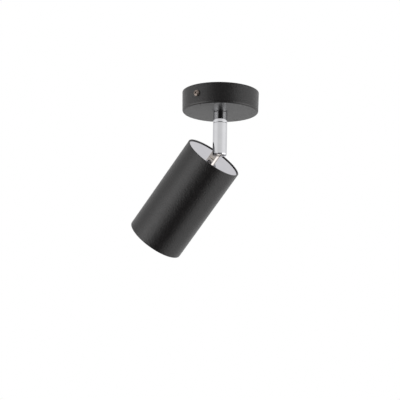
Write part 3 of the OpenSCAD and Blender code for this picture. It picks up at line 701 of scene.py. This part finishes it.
def make_canopy():
    """A drawn cup that narrows a little to its closed end, and two screws in its wall."""
    head_h, length = 2.2, 7
    hole_r = NIPPLE_R + CLEAR
    low_r = CANOPY_R - CANOPY_DRAW * CANOPY_H / (CANOPY_H - CANOPY_EDGE)
    floor = -CANOPY_H + CANOPY_SHEET
    cup = turned(rounded([
        (CANOPY_R - CANOPY_SHEET, 0, 0.2), (CANOPY_R, 0, 0.25), (low_r, -CANOPY_H, CANOPY_EDGE),
        (hole_r, -CANOPY_H, 0.1), (hole_r, floor, 0.1),
        (low_r - CANOPY_SHEET, floor, CANOPY_EDGE - CANOPY_SHEET)], 8), 192)
    for side in SIDES:
        hole = rod(SIDE_SCREW_R + 0.2, -1.2, CANOPY_SHEET + 1.2)
        cut(cup, moved(hole, *outward(side, CANOPY_R - CANOPY_SHEET)))
    piece(smooth(cup), "canopy_cup", "ceiling_base", "black_powder_coat", "canopy_cover")

    high = reach("canopy_side_screws")[1]
    screws = [moved(pan_screw(SIDE_SCREW_R, length, high.x, head_h), *outward(side, high.y - head_h),
                    turn("Z", spin)) for side, spin in ((-1, 40), (1, 57))]
    piece(gathered(*screws), "side_screws", "ceiling_base", "nickel_plated_steel", "canopy_side_screws")


def make_bracket():
    """The strap on the ceiling: one sheet with turned ears, a tab, slots and tapped holes."""
    through = (-STRAP_T - PAST, PAST)
    half, end = STRAP_W / 2, EAR_Y - 2
    tab_end, tab_half = BLOCK_HIGH.x, 9
    strap = extruded(rounded([
        (-half, -end, 1.5), (half, -end, 1.5), (half, -tab_half, 0.6), (tab_end, -tab_half, 2),
        (tab_end, tab_half, 2), (half, tab_half, 0.6), (half, end, 1.5), (-half, end, 1.5)]), -STRAP_T, 0)
    bend = rounded([(0, 0, 2), (8, 0, 0), (8, -STRAP_T, 0), (STRAP_T, -STRAP_T, 0.5),
                    (STRAP_T, -EAR_DROP, 0.2), (0, -EAR_DROP, 0.2)], 6)
    for side in SIDES:
        ear = extruded(bend, -EAR_W / 2, EAR_W / 2)
        upright = Matrix(((0, 0, 1, 0), (-side, 0, 0, side * EAR_Y * MM), (0, 1, 0, 0), (0, 0, 0, 1)))
        welded(strap, moved(ear, upright))
    slot = oblong(SLOT_W / 2, SLOT_LEN / 2, SLOT_W / 2.01, 10)
    cut(strap, rod(CABLE_HOLE_R, *through, 96), moved(rod(M4_HOLE_R, *through), at(0, EARTH_Y, 0)),
        *[moved(extruded(slot, *through), at(0, side * SLOT_SPACING / 2, 0)) for side in SIDES],
        *rod_pair(BLOCK_HOLE_R, *through, BLOCK_X, POLE_PITCH / 2),
        *[moved(rod(M4_HOLE_R, -PAST, STRAP_T + PAST), *outward(side, EAR_Y - STRAP_T)) for side in SIDES])
    piece(smooth(strap, 0.12), "ceiling_strap", "ceiling_base", "zinc_plated_steel", "mounting_bracket")


def make_terminals():
    """A moulded block with a brass sleeve and two wire screws in each pole."""
    low, high = BLOCK_LOW, BLOCK_HIGH
    web, groove = low.z + 3, 1.2
    # A web carries three towers, with a groove on each side of the middle one
    towers = []
    for pole in POLES:
        left, right = [pole * POLE_PITCH + side * (POLE_PITCH - groove) / 2 for side in SIDES]
        left = low.y if pole < 0 else left
        right = high.y if pole > 0 else right
        towers += [(left, web, 0.3), (left, low.z, 0.8), (right, low.z, 0.8), (right, web, 0.3)]
    outline = [(low.y, high.z, 0.4)] + towers[1:-1] + [(high.y, high.z, 0.4)]
    block = moved(extruded(rounded(outline), low.x, high.x), ALONG_X)
    wells = []
    for pole in POLES:
        y = pole * POLE_PITCH
        wells.append(moved(rod(2.15, low.x - PAST, high.x + PAST), at(0, y, BLOCK_Z), turn("Y", 90)))
        wells += [moved(rod(1.6, low.z - PAST, BLOCK_Z), at(x, y, 0)) for x in WIRE_SCREW_X]
    wells += rod_pair(BLOCK_HOLE_R, low.z - PAST, high.z + PAST, BLOCK_X, POLE_PITCH / 2)
    for well in wells:
        cut(block, well)
    piece(smooth(block, 0.15), "terminal_strip", "ceiling_base", "white_polyamide", "terminal_block")

    low, high = reach("terminal_sleeves")
    half, sleeve_r, bore, edge = (high.x - low.x) / 2, 2.1, 1.15, 0.15
    shape = rounded([(bore, -half, edge), (sleeve_r, -half, edge), (sleeve_r, half, edge),
                     (bore, half, edge)], 2)
    sleeves = []
    for pole in POLES:
        y = pole * POLE_PITCH
        tube = moved(turned(shape, 48), at(BLOCK_X, y, BLOCK_Z), turn("Y", 90))
        sleeves.append(cut(tube, *[moved(rod(1.35, -3, 0), at(x, y, BLOCK_Z)) for x in WIRE_SCREW_X]))
    piece(smooth(gathered(*sleeves)), "terminal_tubes", "ceiling_base", "brass", "terminal_sleeves")

    low, high = reach("terminal_screws")
    screws = []
    for pole in POLES:
        for side, x in zip(SIDES, WIRE_SCREW_X):
            slit = plate((-2, -0.25, low.z - PAST), (2, 0.25, low.z + 0.6))
            screw = cut(threaded(1.3, 0.5, low.z, high.z), moved(slit, turn("Z", 25 + 70 * pole + 40 * side)))
            screws.append(moved(screw, at(x, pole * POLE_PITCH, 0)))
    piece(smooth(gathered(*screws)), "wire_screws", "ceiling_base", "zinc_plated_steel", "terminal_screws")

    low, high = reach("terminal_block_screws")
    seat, head_r = BLOCK_LOW.z, 2
    screws = screw_pair(BLOCK_X, POLE_PITCH / 2, seat, 30, 1.25, high.z - seat, head_r, seat - low.z, 0.5)
    piece(screws, "strip_screws", "ceiling_base", "zinc_plated_steel", "terminal_block_screws")


def make_earth():
    """The strap's earth terminal: a screw and a cup washer hold the tag of the earth lead."""
    low, high = reach("earth_washer")
    seat, tall, washer_r = low.z, high.z - low.z, high.x
    low, high = reach("earth_screw")
    screw = pan_screw(2, high.z - seat, high.x, seat - low.z)
    piece(moved(screw, at(0, EARTH_Y, seat), turn("X", 180), turn("Z", 35)),
          "earth_clamp_screw", "ceiling_base", "brass", "earth_screw")
    # The washer is dished, so that it holds the tag like a spring
    dish = turned(rounded([(M4_HOLE_R, 0, 0.1), (washer_r, 0.35 * tall, 0.1), (washer_r, tall, 0.1),
                           (M4_HOLE_R, 0.6 * tall, 0.1)], 3), 64)
    piece(smooth(moved(dish, at(0, EARTH_Y, seat))),
          "earth_cup_washer", "ceiling_base", "brass", "earth_washer")

    tag_r, sheet, barrel_r = 4, 0.8, 1.3
    high = reach("earth_ring_tag")[1]
    under, mid = high.z - sheet, high.z - barrel_r
    neck_start, start = EARTH_Y + 3, EARTH_Y + tag_r + 0.4
    ring = moved(rod(tag_r, 0, sheet, 64), at(0, EARTH_Y, under))
    neck = extruded(rounded([
        (-barrel_r, neck_start, 0), (barrel_r, neck_start, 0), (barrel_r, start + sheet, 0.3),
        (-barrel_r, start + sheet, 0.3)]), under, high.z)
    barrel = moved(rod(barrel_r, 0, high.y - start), at(0, start, mid), turn("X", -90))
    welded(ring, neck, barrel)
    crimps = [moved(plate((-0.7, y, -barrel_r - 0.3), (0.7, y + 0.7, 0.35 - barrel_r)), at(0, 0, mid))
              for y in (start + 0.9, high.y - 1.4)]
    cut(ring, moved(rod(M4_HOLE_R, -PAST, sheet + PAST), at(0, EARTH_Y, under)),
        moved(rod(LEAD_R + 0.05, -PAST, 6), at(0, start, mid), turn("X", -90)), *crimps)
    piece(smooth(ring, 0.08), "earth_tag", "ceiling_base", "zinc_plated_steel", "earth_ring_tag")

    way_in = BLOCK_LOW.x
    route = [(0, high.y - 2.4, mid), (0, high.y, mid), (0, high.y + 0.9, mid),
             (2.8, high.y + 1.7, mid - 0.6), (way_in - 1.5, 0, (mid + BLOCK_Z) / 2),
             (way_in + 0.4, 0, BLOCK_Z), (way_in + 1.8, 0, BLOCK_Z), (BLOCK_X - BARED, 0, BLOCK_Z)]
    piece(smooth(lead(route, LEAD_R)), "earth_wire", "ceiling_base", "earth_lead_sleeve", "earth_lead")


def lead_pair(where, body, node, route):
    """The neutral lead along a route, and the live one along its mirror image."""
    for side, pole, sleeve in ((-1, "live", LIVE_SLEEVE), (1, "neutral", NEUTRAL_SLEEVE)):
        wire = lead([(x, side * y, z) for x, y, z in route], LEAD_R)
        piece(smooth(wire), f"{pole}_wire_{where}", body, "lead_sleeve", node, finish=sleeve)


def make_canopy_leads():
    nipple_top = reach("swivel_collar")[1].z
    lead_pair("above", "ceiling_base", "canopy_leads", [
        (BLOCK_X - BARED, POLE_PITCH, BLOCK_Z), (BLOCK_LOW.x - 0.5, POLE_PITCH, BLOCK_Z),
        (5, POLE_PITCH * 0.55, BLOCK_Z - 0.8), (1.2, LEAD_SIDE + 0.7, BLOCK_Z - 3.4),
        (0, LEAD_SIDE, nipple_top - 1), (0, LEAD_SIDE, (nipple_top + COLLAR_BOTTOM) / 2),
        (0, LEAD_SIDE, COLLAR_BOTTOM)])


def make_swivel():
    """The upper chrome piece with its nipple and spigot, and what clamps it and limits its turn."""
    hole_r = NIPPLE_R + THREAD_CLEAR
    low, high = reach("canopy_locknut")
    nut = moved(hex_nut(high.y - low.y, hole_r, high.z - low.z), at(0, 0, low.z))
    piece(nut, "canopy_nut", "ceiling_base", "zinc_plated_steel", "canopy_locknut")
    low, high = reach("canopy_lock_washer")
    washer = moved(toothed_washer(high.x, hole_r, high.z - low.z, 16), at(0, 0, low.z))
    piece(washer, "canopy_toothed_washer", "ceiling_base", "zinc_plated_steel", "canopy_lock_washer")

    low, high = reach("swivel_collar")
    bore, groove_r, core_r, core_top = NIPPLE_BORE_R, SPIGOT_R - 1, NIPPLE_R - 0.6, high.z - 0.3
    groove_low, groove_high = GROOVE_Z - 1.1, GROOVE_Z + 1.1
    body = turned(rounded([
        (bore, low.z, 0.2), (SPIGOT_R, low.z, 0.4), (SPIGOT_R, groove_low, 0.1), (groove_r, groove_low, 0.1),
        (groove_r, groove_high, 0.1), (SPIGOT_R, groove_high, 0.1), (SPIGOT_R, COLLAR_BOTTOM, 0.1),
        (STEM_R, COLLAR_BOTTOM, PARTING_EDGE), (STEM_R, COLLAR_TOP, COLLAR_EDGE), (core_r, COLLAR_TOP, 0.1),
        (core_r, core_top, 0), (bore, core_top, 0)], 6), 192)
    thread = threaded(NIPPLE_R, 1, COLLAR_TOP + 0.05, high.z, bore, 96)
    pin_hole = moved(rod(0.55, bore - PAST, SPIGOT_R), at(0, 0, GROOVE_Z), turn("Y", 90))
    piece(smooth(gathered(cut(body, pin_hole), thread)),
          "swivel_upper_stem", "ceiling_base", "chrome_plate", "swivel_collar")

    low, high = reach("swivel_stop_pin")
    pin = turned(rounded([
        (0, low.x, 0), (high.y, low.x, 0.15), (high.y, high.x, 0.2), (0, high.x, 0)], 3), 32)
    piece(smooth(moved(pin, at(0, 0, GROOVE_Z), turn("Y", 90))),
          "swivel_pin", "ceiling_base", "zinc_plated_steel", "swivel_stop_pin")

    low, high = WASHER_LOW, WASHER_HIGH
    washer = moved(flat_washer(high.x, SPIGOT_R + CLEAR, high.z - low.z, 0.12), at(0, 0, low.z))
    piece(washer, "swivel_gliding_washer", "ceiling_base", "black_polyamide", "swivel_washer")


def make_stem():
    """The lower chrome piece, bored for the spigot, slotted for the knuckle and drilled across."""
    spigot_bottom = COLLAR_BOTTOM - SPIGOT_LEN
    bore_end = spigot_bottom - 0.6
    low, high = STEM_LOW.z, WASHER_LOW.z
    pocket_top = HINGE.z + POCKET_R
    body = turned(rounded([
        (0, low, 0), (STEM_R - STEM_CHAMFER_IN, low, 0.15), (STEM_R, low + STEM_CHAMFER_H, 0.3),
        (STEM_R, high, PARTING_EDGE), (STEM_BORE_R, high, 0.15), (STEM_BORE_R, bore_end, 0.1),
        (WIRE_BORE_R, bore_end, 0.1), (WIRE_BORE_R, HINGE.z, 0), (0, HINGE.z, 0)], 6), 192)
    back = -12
    slot = rounded([(back, low - PAST, 0), (POCKET_R, low - PAST, 0), (POCKET_R, pocket_top, POCKET_R),
                    (0, pocket_top, 0), (back, pocket_top, 0)], 24)
    cut(body, moved(extruded(slot, -SLOT_GAP / 2, SLOT_GAP / 2), turn("X", 90)))
    hinge = at(0, 0, HINGE.z)
    cut(body, moved(rod(M3_HOLE_R, -SLOT_GAP, 9), hinge, turn("X", -90)),
        moved(rod(M3_HOLE_R, 0, 6.2), hinge, turn("X", 90)))
    cut(body, moved(rod(3.2, HINGE_SEAT_Y, 9, 64), hinge, turn("X", -90)),
        moved(rod(M3_HOLE_R, 4, 9), at(0, 0, GROOVE_Z), turn("Y", -90)))
    piece(trued(smooth(body), STEM_R), "stem", "stem", "chrome_plate", "stem_tube")

    low, high = reach("swivel_set_screw")
    tip_r, tip_end, socket_depth = 0.8, STEM_BORE_R + 0.5, 1
    screw = threaded(1.5, 0.5, STEM_BORE_R + 0.15, -low.x)
    tip = turned(rounded([
        (0, -high.x, 0), (tip_r, -high.x, 0.2), (tip_r, tip_end, 0), (0, tip_end, 0)], 3), 32)
    socket = extruded(hexagon(0.75), -low.x - socket_depth, -low.x + PAST)
    screw = smooth(gathered(cut(screw, socket), tip))
    piece(moved(screw, at(0, 0, GROOVE_Z), turn("Y", -90)),
          "grub_screw", "stem", "blackened_steel", "swivel_set_screw")

    low, high = reach("hinge_screw")
    head_h = 1.9
    seat = high.y - head_h
    screw = pan_screw(1.5, seat - low.y, high.x, head_h, 0.5, plain=seat + SLOT_GAP / 2)
    piece(moved(screw, at(0, seat, HINGE.z), turn("X", -90), turn("Z", 20)),
          "hinge_bolt", "stem", "nickel_plated_steel", "hinge_screw")
    low, high = reach("hinge_spring_washer")
    piece(moved(split_washer(high.x, M3_HOLE_R, high.y - low.y), at(0, low.y, HINGE.z), turn("X", -90)),
          "hinge_split_washer", "stem", "zinc_plated_steel", "hinge_spring_washer")
    lead_pair("in_stem", "stem", "stem_leads", [
        (0, LEAD_SIDE, COLLAR_BOTTOM - 0.3), (0, LEAD_SIDE, spigot_bottom),
        (-1.1, LEAD_SIDE, (spigot_bottom + pocket_top) / 2), (1 - WIRE_BORE_R, LEAD_SIDE, pocket_top)])


def make_tongue():
    """A turned bar with a ball end, milled to two flats above its round foot, on a hollow stud."""
    half_t, bar_r, foot_top, foot_edge = 2.65, 4.95, CAP_TOP + 0.3, 0.1
    ball_end = [polar(bar_r, math.radians(a)) for a in range(0, 90, 5)]
    body = turned([(0, CAP_TOP), (bar_r - foot_edge, CAP_TOP), (bar_r, CAP_TOP + foot_edge)] + ball_end
                  + [(0, bar_r)], 144)
    for spin in (180, 0):
        cut(body, moved(plate((-9, half_t, foot_top), (9, 9 + half_t, 9)), turn("Z", spin)))
    smooth(body, 0.15, 50, 1)
    # The leads come up through the stud and leave by a channel in the back of the tongue
    cut(body, moved(rod(M3_HOLE_R, -6, 6), turn("X", 90)))
    cut(body, rod(STUD_BORE_R, CAP_TOP - PAST, foot_top - 1.2))
    way = LEAD_R * 2 + 0.2
    for back, low, front, high in ((-8, -2.6, -2.05, 6), (-8, foot_top + 1, -1.1, -1.6),
                                   (-3, foot_top - 2, -1.1, foot_top + 2)):
        cut(body, plate((back, -way, low), (front, way, high)))
    stud = threaded(STUD_R, 1, STUD_BOTTOM, CAP_TOP + 0.05, STUD_BORE_R, 96)
    piece(smooth(gathered(smooth(body), stud)), "hinge_knuckle", "head", "satin_nickel", "hinge_tongue")


def make_head():
    """The black tube, the mirror disc in its end, and what holds the disc and the knuckle."""
    low, high = reach("housing_tube")
    out, top, mouth = high.x, high.z, low.z
    inner = out - 1
    groove_r, groove_top = inner + 0.35, CAP_BOTTOM + 0.05
    groove_low = groove_top - 1.1
    tube = turned(rounded([
        (out - RIM_W, top, 0.15), (out, top, 0.25), (out, mouth, 0.3), (inner, mouth, 0.2),
        (inner, groove_low, 0), (groove_r, groove_low, 0), (groove_r, groove_top, 0),
        (inner, groove_top, 0), (inner, CAP_TOP, 0.1), (out - RIM_W, CAP_TOP, 0.1)], 5), 224)
    piece(smooth(tube), "head_tube", "head", "black_powder_coat", "housing_tube")

    cap_r = reach("head_cap")[1].x
    cap = turned(rounded([(STUD_HOLE_R, CAP_BOTTOM, 0.1), (cap_r, CAP_BOTTOM, 0.15), (cap_r, CAP_TOP, 0.2),
                          (STUD_HOLE_R, CAP_TOP, 0.2)], 4), 192)
    piece(smooth(cap), "chrome_disc", "head", "chrome_plate", "head_cap", finish=FLAT_CHROME)

    wire_r, half_gap, stops = 0.5, 12, 57
    ring_r = groove_r - 0.05 - wire_r
    around = [math.radians(90 + half_gap + (360 - 2 * half_gap) * k / (stops - 1)) for k in range(stops)]
    ring = lead([(*polar(ring_r, angle), CAP_BOTTOM - wire_r) for angle in around], wire_r, 20, 3)
    piece(smooth(ring), "spring_wire_ring", "head", "zinc_plated_steel", "cap_snap_ring")

    low, high = reach("tongue_lock_washer")
    piece(moved(toothed_washer(high.x, STUD_HOLE_R, high.z - low.z, 14), at(0, 0, low.z)),
          "knuckle_toothed_washer", "head", "zinc_plated_steel", "tongue_lock_washer")
    low, high = reach("tongue_locknut")
    piece(moved(hex_nut(high.y - low.y, STUD_HOLE_R, high.z - low.z), at(0, 0, low.z)),
          "knuckle_nut", "head", "zinc_plated_steel", "tongue_locknut")


def arc_slot(half, start, end, low, high, steps=12):
    """A curved slot with round ends about the head's axis, for one pin of the lamp."""
    outline = []
    for radius, first, last, back in ((PIN_X + half, start, end, 0), (PIN_X - half, end, start, math.pi)):
        outline += [polar(radius, math.radians(first + (last - first) * k / steps)) for k in range(steps + 1)]
        tip = math.radians(last)
        x, y = polar(PIN_X, tip)
        bow = [polar(half, tip + back + math.pi * k / steps) for k in range(1, steps)]
        outline += [(x + right, y + up) for right, up in bow]
    return extruded(outline, low, high)


def pin_pair(shape):
    return smooth(gathered(*[moved(turned(shape, 48), at(0, side * PIN_X, 0)) for side in SIDES]))


def make_lampholder():
    """The strap on the stud, the ceramic holder on it with its springs and screws, and the leads."""
    low, high = reach("lampholder_bracket")
    web, sheet, half_web = high.z, 1, 9
    feet, inside = low.z + sheet, half_web - sheet
    half = [(half_web, web, 1.6), (half_web, feet, 0.4), (high.y, feet, 0.1), (high.y, low.z, 0.1),
            (inside, low.z, 1.4), (inside, web - sheet, 0.6)]
    hat = rounded(half + [(-y, z, radius) for y, z, radius in reversed(half)], 5)
    strap = moved(extruded(hat, low.x, high.x), ALONG_X)
    cut(strap, rod(STUD_HOLE_R, web - 2, web + PAST),
        *rod_pair(M3_HOLE_R, feet - 2, feet + PAST, 0, HOLDER_SCREW_Y))
    piece(smooth(strap, 0.1), "lampholder_strap", "head", "zinc_plated_steel", "lampholder_bracket")

    low, high = reach("lampholder")
    face, top = low.z, high.z
    body = smooth(extruded(oblong(high.x, high.y, high.x * 0.998, 24), face, top), 0.7, 50)
    lip, shelf = face + 2.5, PIN_END + 1.1
    # Each pin goes in by a round hole and turns into a slot, which is wider above its lip
    for end in (90, 270):
        start = end - LAMP_TURN
        cut(body, arc_slot(1.9, start, end, face - PAST, lip + PAST),
            moved(rod(2.7, face - PAST, lip + PAST), turn("Z", start), at(PIN_X, 0, 0)))
        cut(body, arc_slot(2.8, start, end, lip, shelf))
    cut(body, *rod_pair(0.9, shelf - PAST, top + PAST, 0, PIN_X),
        *rod_pair(1.7, face - PAST, top + PAST, 0, HOLDER_SCREW_Y))
    cut(body, *rod_pair(2.9, face - PAST, face + 2.4, 0, HOLDER_SCREW_Y))
    piece(smooth(body), "ceramic_holder", "head", "steatite_ceramic", "lampholder")

    low, high = reach("lampholder_contacts")
    leaf_r, stalk_r, leaf_top = high.x, 0.8, low.z + 0.8
    contacts = pin_pair(rounded([
        (0, low.z, 0), (0.5 * leaf_r, low.z, 0.4), (leaf_r, low.z + 0.35, 0.1), (leaf_r, leaf_top, 0.1),
        (stalk_r, leaf_top, 0.1), (stalk_r, high.z, 0.2), (0, high.z, 0)], 4))
    piece(contacts, "spring_contacts", "head", "brass", "lampholder_contacts")

    low, high = reach("lampholder_screws")
    head_h = 2
    seat = low.z + head_h
    screws = screw_pair(0, HOLDER_SCREW_Y, seat, 25, 1.5, high.z - seat, high.x, head_h, 0.5)
    piece(screws, "holder_screws", "head", "zinc_plated_steel", "lampholder_screws")

    back_x = -(M3_HOLE_R + 0.55 + LEAD_R)
    bore_x = LEAD_R + 0.37 - STUD_BORE_R
    lead_pair("in_head", "head", "head_leads", [
        (back_x, LEAD_SIDE, 1.4), (back_x, LEAD_SIDE, -1.8), (back_x + 0.5, LEAD_SIDE, -5),
        (bore_x, LEAD_SIDE, CAP_TOP + 1.6), (bore_x, LEAD_SIDE, CAP_BOTTOM), (bore_x, LEAD_SIDE, STUD_BOTTOM),
        (-1, 2.6, (STUD_BOTTOM + top) / 2 - 0.5), (0, PIN_X, top + 1.2), (0, PIN_X, top)])


def make_lamp():
    """A twist-lock lamp: ribbed base with two pins, reflector shell, board with its diodes, lens."""
    low, high = reach("lamp_base")
    radius, top, grips, per_grip, rib = high.x, high.z, 40, 4, 0.35
    grip_low = top - 12
    # The base is ribbed all round, for a grip when the lamp is twisted out
    points = grips * per_grip
    outline = [polar(radius - (rib if k % per_grip in (1, 2) else 0), 2 * math.pi * k / points)
               for k in range(points)]
    base = extruded(outline, grip_low, top)
    profile = turned(rounded([
        (0, low.z, 0), (LAMP_NECK_R, low.z, 0.3), (LAMP_NECK_R, grip_low, 0.2), (radius, grip_low, 0.5),
        (radius, top, 0.9), (0, top, 0)], 5), 160)
    welded(base, rod(LAMP_NECK_R, low.z, grip_low + PAST, 160))
    combined(base, "INTERSECT", [profile])
    cut(base, *rod_pair(M3_HOLE_R, top - 3, top + PAST, 0, PIN_X))
    piece(smooth(base), "lamp_ribbed_base", "lamp", "lamp_base_plastic", "lamp_base")

    low, high = reach("lamp_pins")
    neck_r, head_r, head_low = 1.5, high.x, top + 3.3
    pins = pin_pair(rounded([
        (0, low.z, 0), (neck_r, low.z, 0.1), (neck_r, head_low, 0.1), (head_r, head_low, 0.3),
        (head_r, high.z, 0.5), (0, high.z, 0)], 4))
    piece(pins, "lamp_contact_pins", "lamp", "nickel_plated_brass", "lamp_pins")

    low, high = reach("lamp_shell")
    rim_r, wall, rim, edge, steps = high.x, 1.2, 6, 0.3, 20
    start_r, bore = radius + 0.2, LAMP_NECK_R + THREAD_CLEAR
    fall = high.z - low.z - rim
    quarter = [math.pi / 2 * k / steps for k in range(steps + 1)]
    flare = [(start_r + (rim_r - start_r) * math.sin(a), high.z - fall * (1 - math.cos(a))) for a in quarter]
    outer = [(bore, high.z)] + flare + [(rim_r, low.z + edge), (rim_r - edge, low.z)]
    inner = [(r - wall, z - wall) for r, z in reversed(flare[1:])]
    shell = turned(outer + [(rim_r - wall, low.z)] + inner + [(bore, high.z - wall)], 160)
    piece(smooth(shell), "lamp_reflector_shell", "lamp", "lamp_shell_plastic", "lamp_shell")

    low, high = reach("lamp_led_board")
    board_r, board_low = high.x, high.z - 1.6
    board = turned(rounded([
        (0, board_low, 0), (board_r, board_low, 0.1), (board_r, high.z, 0.1), (0, high.z, 0)], 2), 96)
    pads = [moved(plate((-0.8, -0.6, -0.09), (0.8, 0.6, 0.05)), turn("Z", angle), at(8.4, 0, board_low))
            for angle in (40, 140, 220, 320)]
    piece(smooth(gathered(board, *pads)), "lamp_board", "lamp", "led_board", "lamp_led_board")
    emitter = turned(rounded([
        (0, low.z, 0), (3.4, low.z, 0.3), (4.2, board_low, 0), (0, board_low, 0)], 4), 64)
    piece(smooth(emitter), "lamp_emitter", "lamp", "led_board", "lamp_led_board", finish=YELLOW_PHOSPHOR)

    low, high = reach("lamp_lens")
    disc_r, front, back = high.x, low.z, low.z + 2
    cup_r, cup_z = 5.4, high.z
    lens = turned(rounded([
        (0, front, 0), (disc_r, front, 0.3), (disc_r, back, 0.2), (disc_r - 4, back, 1),
        (cup_r + 1.6, cup_z, 0.3), (cup_r, cup_z, 0.2),
        (cup_r - 0.8, cup_z - 4.5, 1), (0, cup_z - 5.5, 0)], 4))
    piece(smooth(lens), "lamp_front_lens", "lamp", "acrylic_lens", "lamp_lens")


for make in (make_canopy, make_bracket, make_terminals, make_earth, make_canopy_leads, make_swivel,
             make_stem, make_tongue, make_head, make_lampholder, make_lamp):
    make()


# Studio: a soft white room round the object, and a pale floor

# The lamps and the dark between them lie a little to the right of the camera
LAMPS_SHIFT = 0.06
FLOOR_HALF = 6000
FLOOR_DROP = 1200
FLOOR_T = 2


def make_light():
    """Light that comes from all round, worked out from the direction in the room."""
    scene = bpy.context.scene
    scene.view_settings.view_transform = "Standard"
    world = bpy.data.worlds.new("studio")
    world.use_nodes = True
    scene.world = world
    tree = world.node_tree
    tree.nodes.clear()
    direction = add_node(tree, "ShaderNodeTexCoord").outputs["Generated"]
    height = add_node(tree, "ShaderNodeSeparateXYZ", [("Vector", direction)]).outputs["Z"]
    level = add_node(tree, "ShaderNodeVectorMath", [(0, direction), (1, (1, 1, 0))],
                     operation="MULTIPLY").outputs[0]
    bearing = add_node(tree, "ShaderNodeVectorMath", [(0, level)], operation="NORMALIZE").outputs[0]
    right, ahead = [add_node(tree, "ShaderNodeVectorMath", [(0, bearing), (1, axis)],
                             operation="DOT_PRODUCT").outputs["Value"]
                    for axis in (camera_right, camera_ahead)]
    sideways = add_node(tree, "ShaderNodeMath", [(0, right)], operation="ABSOLUTE").outputs[0]
    shifted = add_node(tree, "ShaderNodeMath", [(0, right), (1, LAMPS_SHIFT)],
                       operation="SUBTRACT").outputs[0]
    aside = add_node(tree, "ShaderNodeMath", [(0, shifted)], operation="ABSOLUTE").outputs[0]
    # Each row is one part of the light. Its zones are (measure, start, end, first value, last value),
    # and they are multiplied.
    rows = [
        # White all round, brighter to both sides, and a little more to the right
        [(sideways, 0.3, 1, 0.97, 1.235)],
        [(right, -1, 1, -0.045, 0.045)],
        # Dimmer beyond the object, but not straight beyond it, nor low down there
        [(ahead, -0.1, 0.5, 0, -0.15)],
        [(ahead, 0.55, 0.95, 0, 0.15)],
        [(ahead, -0.2, 0.7, 0, 0.1), (height, -0.2, 0.15, 1, 0)],
        # Dark straight below
        [(height, -0.97, -0.75, -0.85, 0)],
        # Dark above the place where the photographer stood
        [(aside, 0.3, 0.6, -0.7, 0), (ahead, -0.1, 0.3, 1, 0), (height, 0.3, 0.42, 0, 1)],
        # Two strong lamps, low and to the left and right of that place
        [(aside, 0.54, 0.82, 0, 2.6), (ahead, -0.1, 0.55, 1, 0), (height, 0, 0.2, 1, 0),
         (height, -0.9, -0.5, 0.3, 1)],
        # Between them all is dark, which gives the black tube its dark stripe: where, and how light it is
        [(aside, 0.52, 0.7, 1, 0), (ahead, -0.1, 0.3, 1, 0), (height, 0.17, 0.225, 1, 0)],
        [(height, -0.8, -0.3, 0.14, 0.05)]]
    levels = []
    for row in rows:
        level = None
        for source, start, end, first, last in row:
            zone = add_node(tree, "ShaderNodeMapRange", [("Value", source)], interpolation_type="SMOOTHSTEP",
                            From_Min=start, From_Max=end, To_Min=first, To_Max=last).outputs[0]
            if level:
                zone = add_node(tree, "ShaderNodeMath", [(0, level), (1, zone)],
                                operation="MULTIPLY").outputs[0]
            level = zone
        levels.append(level)
    light, *more, where_dark, dark = levels
    for level in more:
        light = add_node(tree, "ShaderNodeMath", [(0, light), (1, level)], operation="ADD").outputs[0]
    around = add_node(tree, "ShaderNodeMix", [("Factor", where_dark), ("A", light), ("B", dark)])
    white = linear("#ffffff")
    lit = add_node(tree, "ShaderNodeBackground", [("Strength", around.outputs["Result"])], Color=white)
    plain = add_node(tree, "ShaderNodeBackground", Color=white)
    seen = add_node(tree, "ShaderNodeLightPath").outputs["Is Camera Ray"]
    mix = add_node(tree, "ShaderNodeMixShader", [(0, seen), (1, lit.outputs[0]), (2, plain.outputs[0])])
    add_node(tree, "ShaderNodeOutputWorld", [("Surface", mix.outputs[0])])


def make_floor():
    # Matt white floor paint, a little cloudy from the roller
    floor = plate((-FLOOR_HALF, -FLOOR_HALF, -FLOOR_DROP - FLOOR_T), (FLOOR_HALF, FLOOR_HALF, -FLOOR_DROP))
    floor.name = "studio_floor"
    finish, cloud = new_finish("pale_floor_paint", ("Noise", 300, {"Detail": 2}), Metallic=0)
    lay_on(finish, cloud, ((0.3, "#e9e9e9"), (0.7, "#eeeeee")), cloud, (0.65, 0.75), (cloud, 0.2))
    floor.data.materials.append(finish)
    floor.visible_glossy = False
    floor.visible_diffuse = False


make_light()
make_floor()
